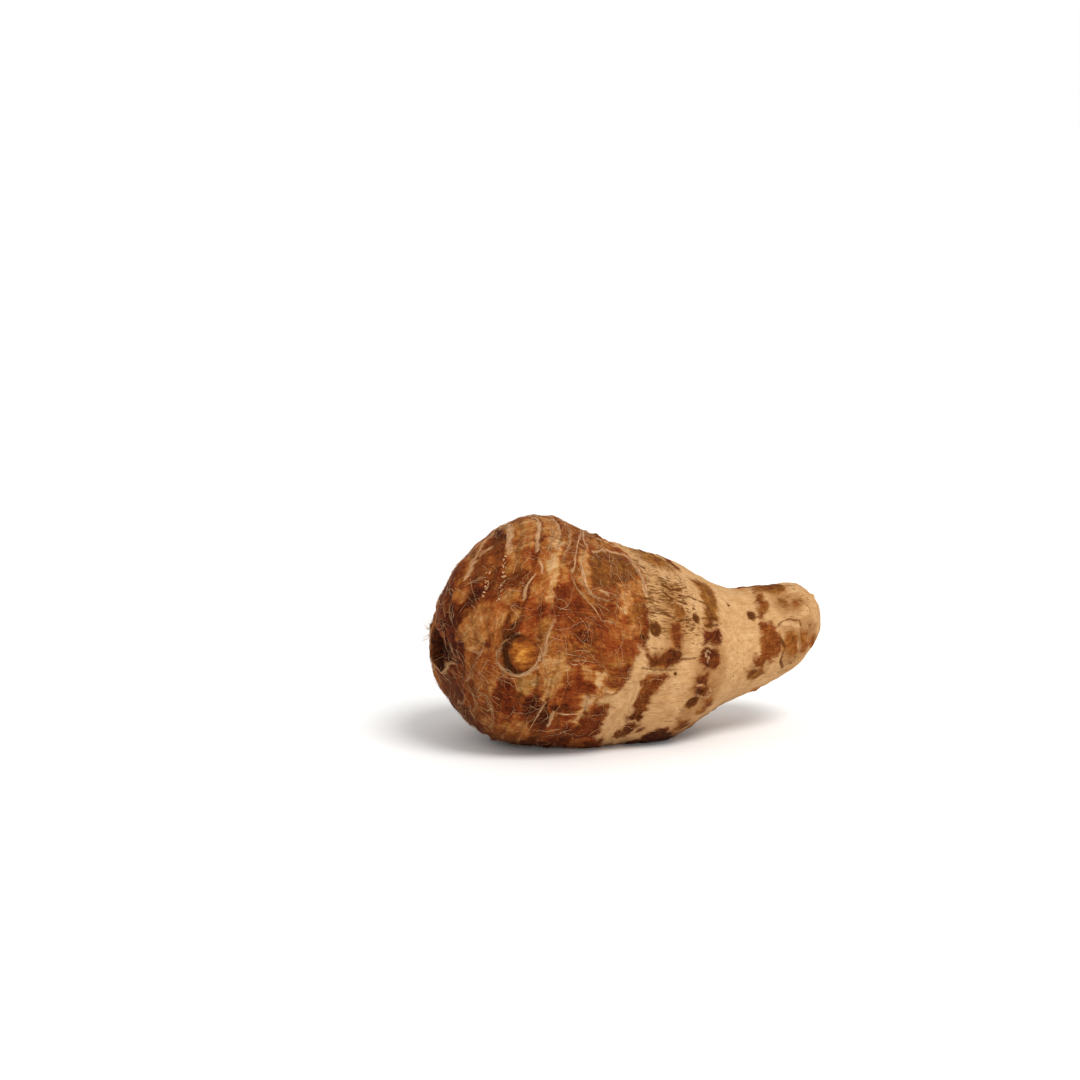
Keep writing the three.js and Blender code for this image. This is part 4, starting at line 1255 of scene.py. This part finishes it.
class TornFibres:
    """Strands, tufts and crumbs of torn fibre, laid on the skin as closed tubes and kept for one mesh."""

    def __init__(self, skin, width_share):
        self.skin = skin
        self.width_share = width_share
        self.draw = np.random.default_rng(SEED + 2)
        self.points, self.faces, self.shades = [], [], []
        self.count = 0

    def lay(self, along, turn, lift, radii, shade):
        """One tube through places, lifted off the skin and with a radius at each, in millimetres."""
        here, outward = self.skin.on_skin(along, turn)
        path = here + outward * lift[:, None] * MM
        path[:, 2] = np.maximum(path[:, 2], radii * MM)
        body, faces = tube(path, outward, radii * MM)
        self.points.append(body)
        self.faces.extend([tuple(self.count + i for i in face) for face in faces])
        self.shades.append(np.full(len(body), shade))
        self.count += len(body)

    def strand(self, width, count, paleness, places):
        """A frayed bundle of fibres that sway past each other on their way through places."""
        draw = self.draw
        places = np.array(places, float)
        turns = np.degrees(np.unwrap(np.radians(places[:, 1])))
        girth = body_radius(places[:, 0].mean()).clip(6)
        reach = np.hypot(np.diff(places[:, 0]), np.radians(np.diff(turns)) * girth).sum()
        steps = int(reach / STRAND_STEP) + 4
        for _ in range(2 * count):
            start, stop = draw.uniform(-0.03, 0.3), draw.uniform(0.7, 1.03)
            share = np.linspace(start, stop, steps)
            walked = share * reach
            phase = draw.uniform(0, 2 * pi, 6)
            sway = np.sin(1.1 * walked + phase[0]) + 0.6 * np.sin(2.6 * walked + phase[1])
            sway += 0.35 * np.sin(6.1 * walked + phase[2])
            drift = np.sin(0.9 * walked + phase[3]) + 0.6 * np.sin(2.2 * walked + phase[4])
            drift += 0.35 * np.sin(5.3 * walked + phase[5])
            along = follow(places[:, 0], share) + 0.35 * width * sway
            turn = follow(turns, share) + np.degrees(0.35 * width * drift / girth)
            ends = ease(share, start, start + 0.15) * (1 - ease(share, stop - 0.2, stop))
            thick = self.width_share * draw.uniform(0.035, 0.07) * (0.3 + 0.7 * ends)
            lift = thick * 0.4 + draw.uniform(0, 0.2) * np.abs(np.sin(0.8 * walked + phase[0]))
            self.lay(along, turn, lift, thick, paleness + draw.uniform(-0.3, 0.15))

    def tuft(self, place, turn, count, reach):
        """Loose hairs that start close together and stand off the skin."""
        draw = self.draw
        girth = float(body_radius(place))
        for _ in range(count):
            share = np.linspace(0, 1, 9)
            heading, height = draw.uniform(0, 2 * pi), reach * draw.uniform(0.4, 1)
            walked = (0.9 * share + 0.12 * np.sin(7 * share + heading)) * reach
            along = place + (draw.uniform(-0.5, 0.5) + walked * np.cos(heading)) * girth / CROWN_RADIUS
            turns = turn + np.degrees((draw.uniform(-0.5, 0.5) + walked * np.sin(heading)) / girth)
            thick = self.width_share * draw.uniform(0.045, 0.075) * (1.1 - 0.7 * share)
            self.lay(along.clip(0.2), turns, height * share ** 1.3, thick, draw.uniform(0.35, 0.85))

    def crumbs(self, ring, turns):
        """Short crumbs of fibre along a ring, three at each turn."""
        draw = self.draw
        for turn in np.repeat(turns, 3):
            share = np.linspace(-1, 1, 7)
            half = draw.uniform(0.1, 0.32)
            along = ring + draw.uniform(-0.28, 0.28) + half * share * draw.uniform(-0.8, 0.8)
            middle = turn + draw.uniform(-1.1, 1.1)
            turns_here = middle + np.degrees(half * share / body_radius(ring))
            thick = draw.uniform(0.08, 0.2) * np.sqrt(np.clip(1.02 - share ** 2, 0, 1)) + 0.03
            self.lay(along, turns_here, -0.2 * thick, thick * self.width_share, draw.uniform(0.5, 0.95))

    def mesh(self, name):
        """All that has been laid, as one mesh with each tube's shade on its points."""
        mesh = smooth_mesh(name, np.concatenate(self.points), self.faces)
        shades = mesh.attributes.new("shade", "FLOAT", "POINT")
        shades.data.foreach_set("value", np.concatenate(self.shades).astype(np.float32))
        return mesh


def torn_fibre_mesh(skin, width_share):
    """The strands on the rings, round the large bud and at the crown, with the tufts and the crumbs."""
    fibres = TornFibres(skin, width_share)
    for width, count, paleness, _, _, *places in STRANDS:
        fibres.strand(width, count, paleness, places)
    for tuft in TUFTS:
        fibres.tuft(*tuft)
    for ring, *turns in CRUMB_ROWS:
        fibres.crumbs(ring, turns)
    return fibres.mesh("torn_strands")


def lay_floor(scene):
    """A plain pale floor that runs back almost to the horizon."""
    corners = [(x * FLOOR_HALF, y * FLOOR_HALF, 0) for x, y in ((-1, -1), (1, -1), (1, 1), (-1, 1))]
    mesh = bpy.data.meshes.new("floor")
    mesh.from_pydata(corners, [], [(0, 1, 2, 3)])
    mesh.materials.append(floor_material(scene.taro.floor_colour))
    floor = bpy.data.objects.new("floor", mesh)
    scene.collection.objects.link(floor)


def light_studio(scene):
    """A white sky, brightest at the horizon, and two wide soft lamps in front of the root."""
    world = bpy.data.worlds.new("studio")
    world.use_nodes = True
    tree = world.node_tree
    up = add(tree, "ShaderNodeSeparateXYZ", {0: add(tree, "ShaderNodeTexCoord")}, out=2)
    bright = add(tree, "ShaderNodeMapRange", {0: up, 1: 0.06, 2: 0.4, 3: SKY_LOW, 4: SKY_HIGH})
    background = tree.nodes["Background"]
    background.inputs["Color"].default_value = linear("#FFFFFF")
    tree.links.new(bright, background.inputs["Strength"])
    scene.world = world
    scene.view_settings.view_transform = "Standard"
    for name, place, width, strength in LAMPS:
        light = bpy.data.lights.new(name, "SUN")
        light.angle = radians(width)
        light.energy = strength
        lamp = bpy.data.objects.new(name, light)
        lamp.location = place
        lamp.rotation_euler = (-Vector(place)).to_track_quat("-Z", "Y").to_euler()
        scene.collection.objects.link(lamp)


def place_camera(scene):
    """A long lens that looks down a little on the root from in front of its crown half."""
    camera = bpy.data.cameras.new("camera")
    camera.lens = CAMERA_LENS
    camera.sensor_width = CAMERA_SENSOR
    viewer = bpy.data.objects.new("camera", camera)
    viewer.location = CAMERA_PLACE
    view = Vector(CAMERA_TARGET) - Vector(CAMERA_PLACE)
    viewer.rotation_euler = view.to_track_quat("-Z", "Y").to_euler()
    scene.collection.objects.link(viewer)
    scene.camera = viewer


class TaroSettings(bpy.types.PropertyGroup):
    """Sizes and numbers of the hairs and torn fibres, and the floor's colour"""

    hair_length: bpy.props.FloatProperty(
        name="Hair length", description="Length of the longest root hairs",
        default=0.008, min=0.001, max=0.03, subtype="DISTANCE", unit="LENGTH")
    hair_width: bpy.props.FloatProperty(
        name="Hair width", description="Thickness of a root hair where it is thickest",
        default=0.00009, min=0.00005, max=0.001, precision=5, subtype="DISTANCE", unit="LENGTH")
    hair_density: bpy.props.FloatProperty(
        name="Hairs per square centimetre", description="How many root hairs grow where they grow thickest",
        default=34.0, min=0.0, max=200.0)
    fringe_density: bpy.props.FloatProperty(
        name="Ring fibres per square centimetre",
        description="How many short fibres stand on the leaf scar rings", default=170.0, min=0.0, max=1000.0)
    strand_width: bpy.props.FloatProperty(
        name="Strand width", description="Width of the torn strands, as a share of the usual width",
        default=1.0, min=0.2, max=3.0, subtype="FACTOR")
    floor_colour: bpy.props.FloatVectorProperty(
        name="Floor colour", description="Colour of the floor under the root",
        default=linear("#F4F3F1"), size=4, min=0.0, max=1.0, subtype="COLOR")


class TARO_OT_stage(bpy.types.Operator):
    """Sets a pale floor, soft light and the camera"""

    bl_idname = "taro.stage"
    bl_label = "Stage"

    def execute(self, context):
        lay_floor(context.scene)
        light_studio(context.scene)
        place_camera(context.scene)
        return {"FINISHED"}


class TARO_OT_skin(bpy.types.Operator):
    """Builds the root's skin with its rings, buds, scars and broken tip"""

    bl_idname = "taro.skin"
    bl_label = "Root skin"

    def execute(self, context):
        skin = Skin()
        mesh = skin_mesh(skin, "corm_skin")
        for name in SKIN_FIELDS:
            store(mesh, name, skin.fields[name])
        store(mesh, "grown", skin.grown, "FLOAT_VECTOR")
        piece = show(mesh, root_skin_material())
        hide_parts("corm")
        return {"FINISHED"}


class TARO_OT_fibres(bpy.types.Operator):
    """Grows root hairs and the short fibres on the rings, and lays the torn strands"""

    bl_idname = "taro.fibres"
    bl_label = "Hairs and torn fibres"

    def execute(self, context):
        sizes = context.scene.taro
        skin = Skin()
        material = root_fibre_material()
        tree = fibre_tree(material)
        hairs = {"Per square metre": sizes.hair_density * PER_SQUARE_METRE,
                 "Length": sizes.hair_length, "Width": sizes.hair_width}
        fringe = {"Per square metre": sizes.fringe_density * PER_SQUARE_METRE}
        show(grow_fibres(skin, tree, "root_hairs", ROOT_HAIRS | hairs), material)
        show(grow_fibres(skin, tree, "ring_fringe", RING_FIBRES | fringe), material)
        show(torn_fibre_mesh(skin, sizes.strand_width), material)
        return {"FINISHED"}


STEPS = (TARO_OT_stage, TARO_OT_skin, TARO_OT_fibres)


class TARO_PT_panel(bpy.types.Panel):
    """Lists the settings and the steps that build the root"""

    bl_label = "Taro cormel"
    bl_idname = "TARO_PT_panel"
    bl_space_type = "VIEW_3D"
    bl_region_type = "UI"
    bl_category = "Taro"

    def draw(self, context):
        for name in TaroSettings.__annotations__:
            self.layout.prop(context.scene.taro, name)
        for step in STEPS:
            self.layout.operator(step.bl_idname)


CLASSES = (TaroSettings,) + STEPS + (TARO_PT_panel,)


def register():
    for cls in CLASSES:
        bpy.utils.register_class(cls)
    bpy.types.Scene.taro = bpy.props.PointerProperty(type=TaroSettings)


def unregister():
    del bpy.types.Scene.taro
    for cls in reversed(CLASSES):
        bpy.utils.unregister_class(cls)


def main():
    register()
    bpy.ops.taro.stage()
    bpy.ops.taro.skin()
    bpy.ops.taro.fibres()


if __name__ == "__main__":
    main()
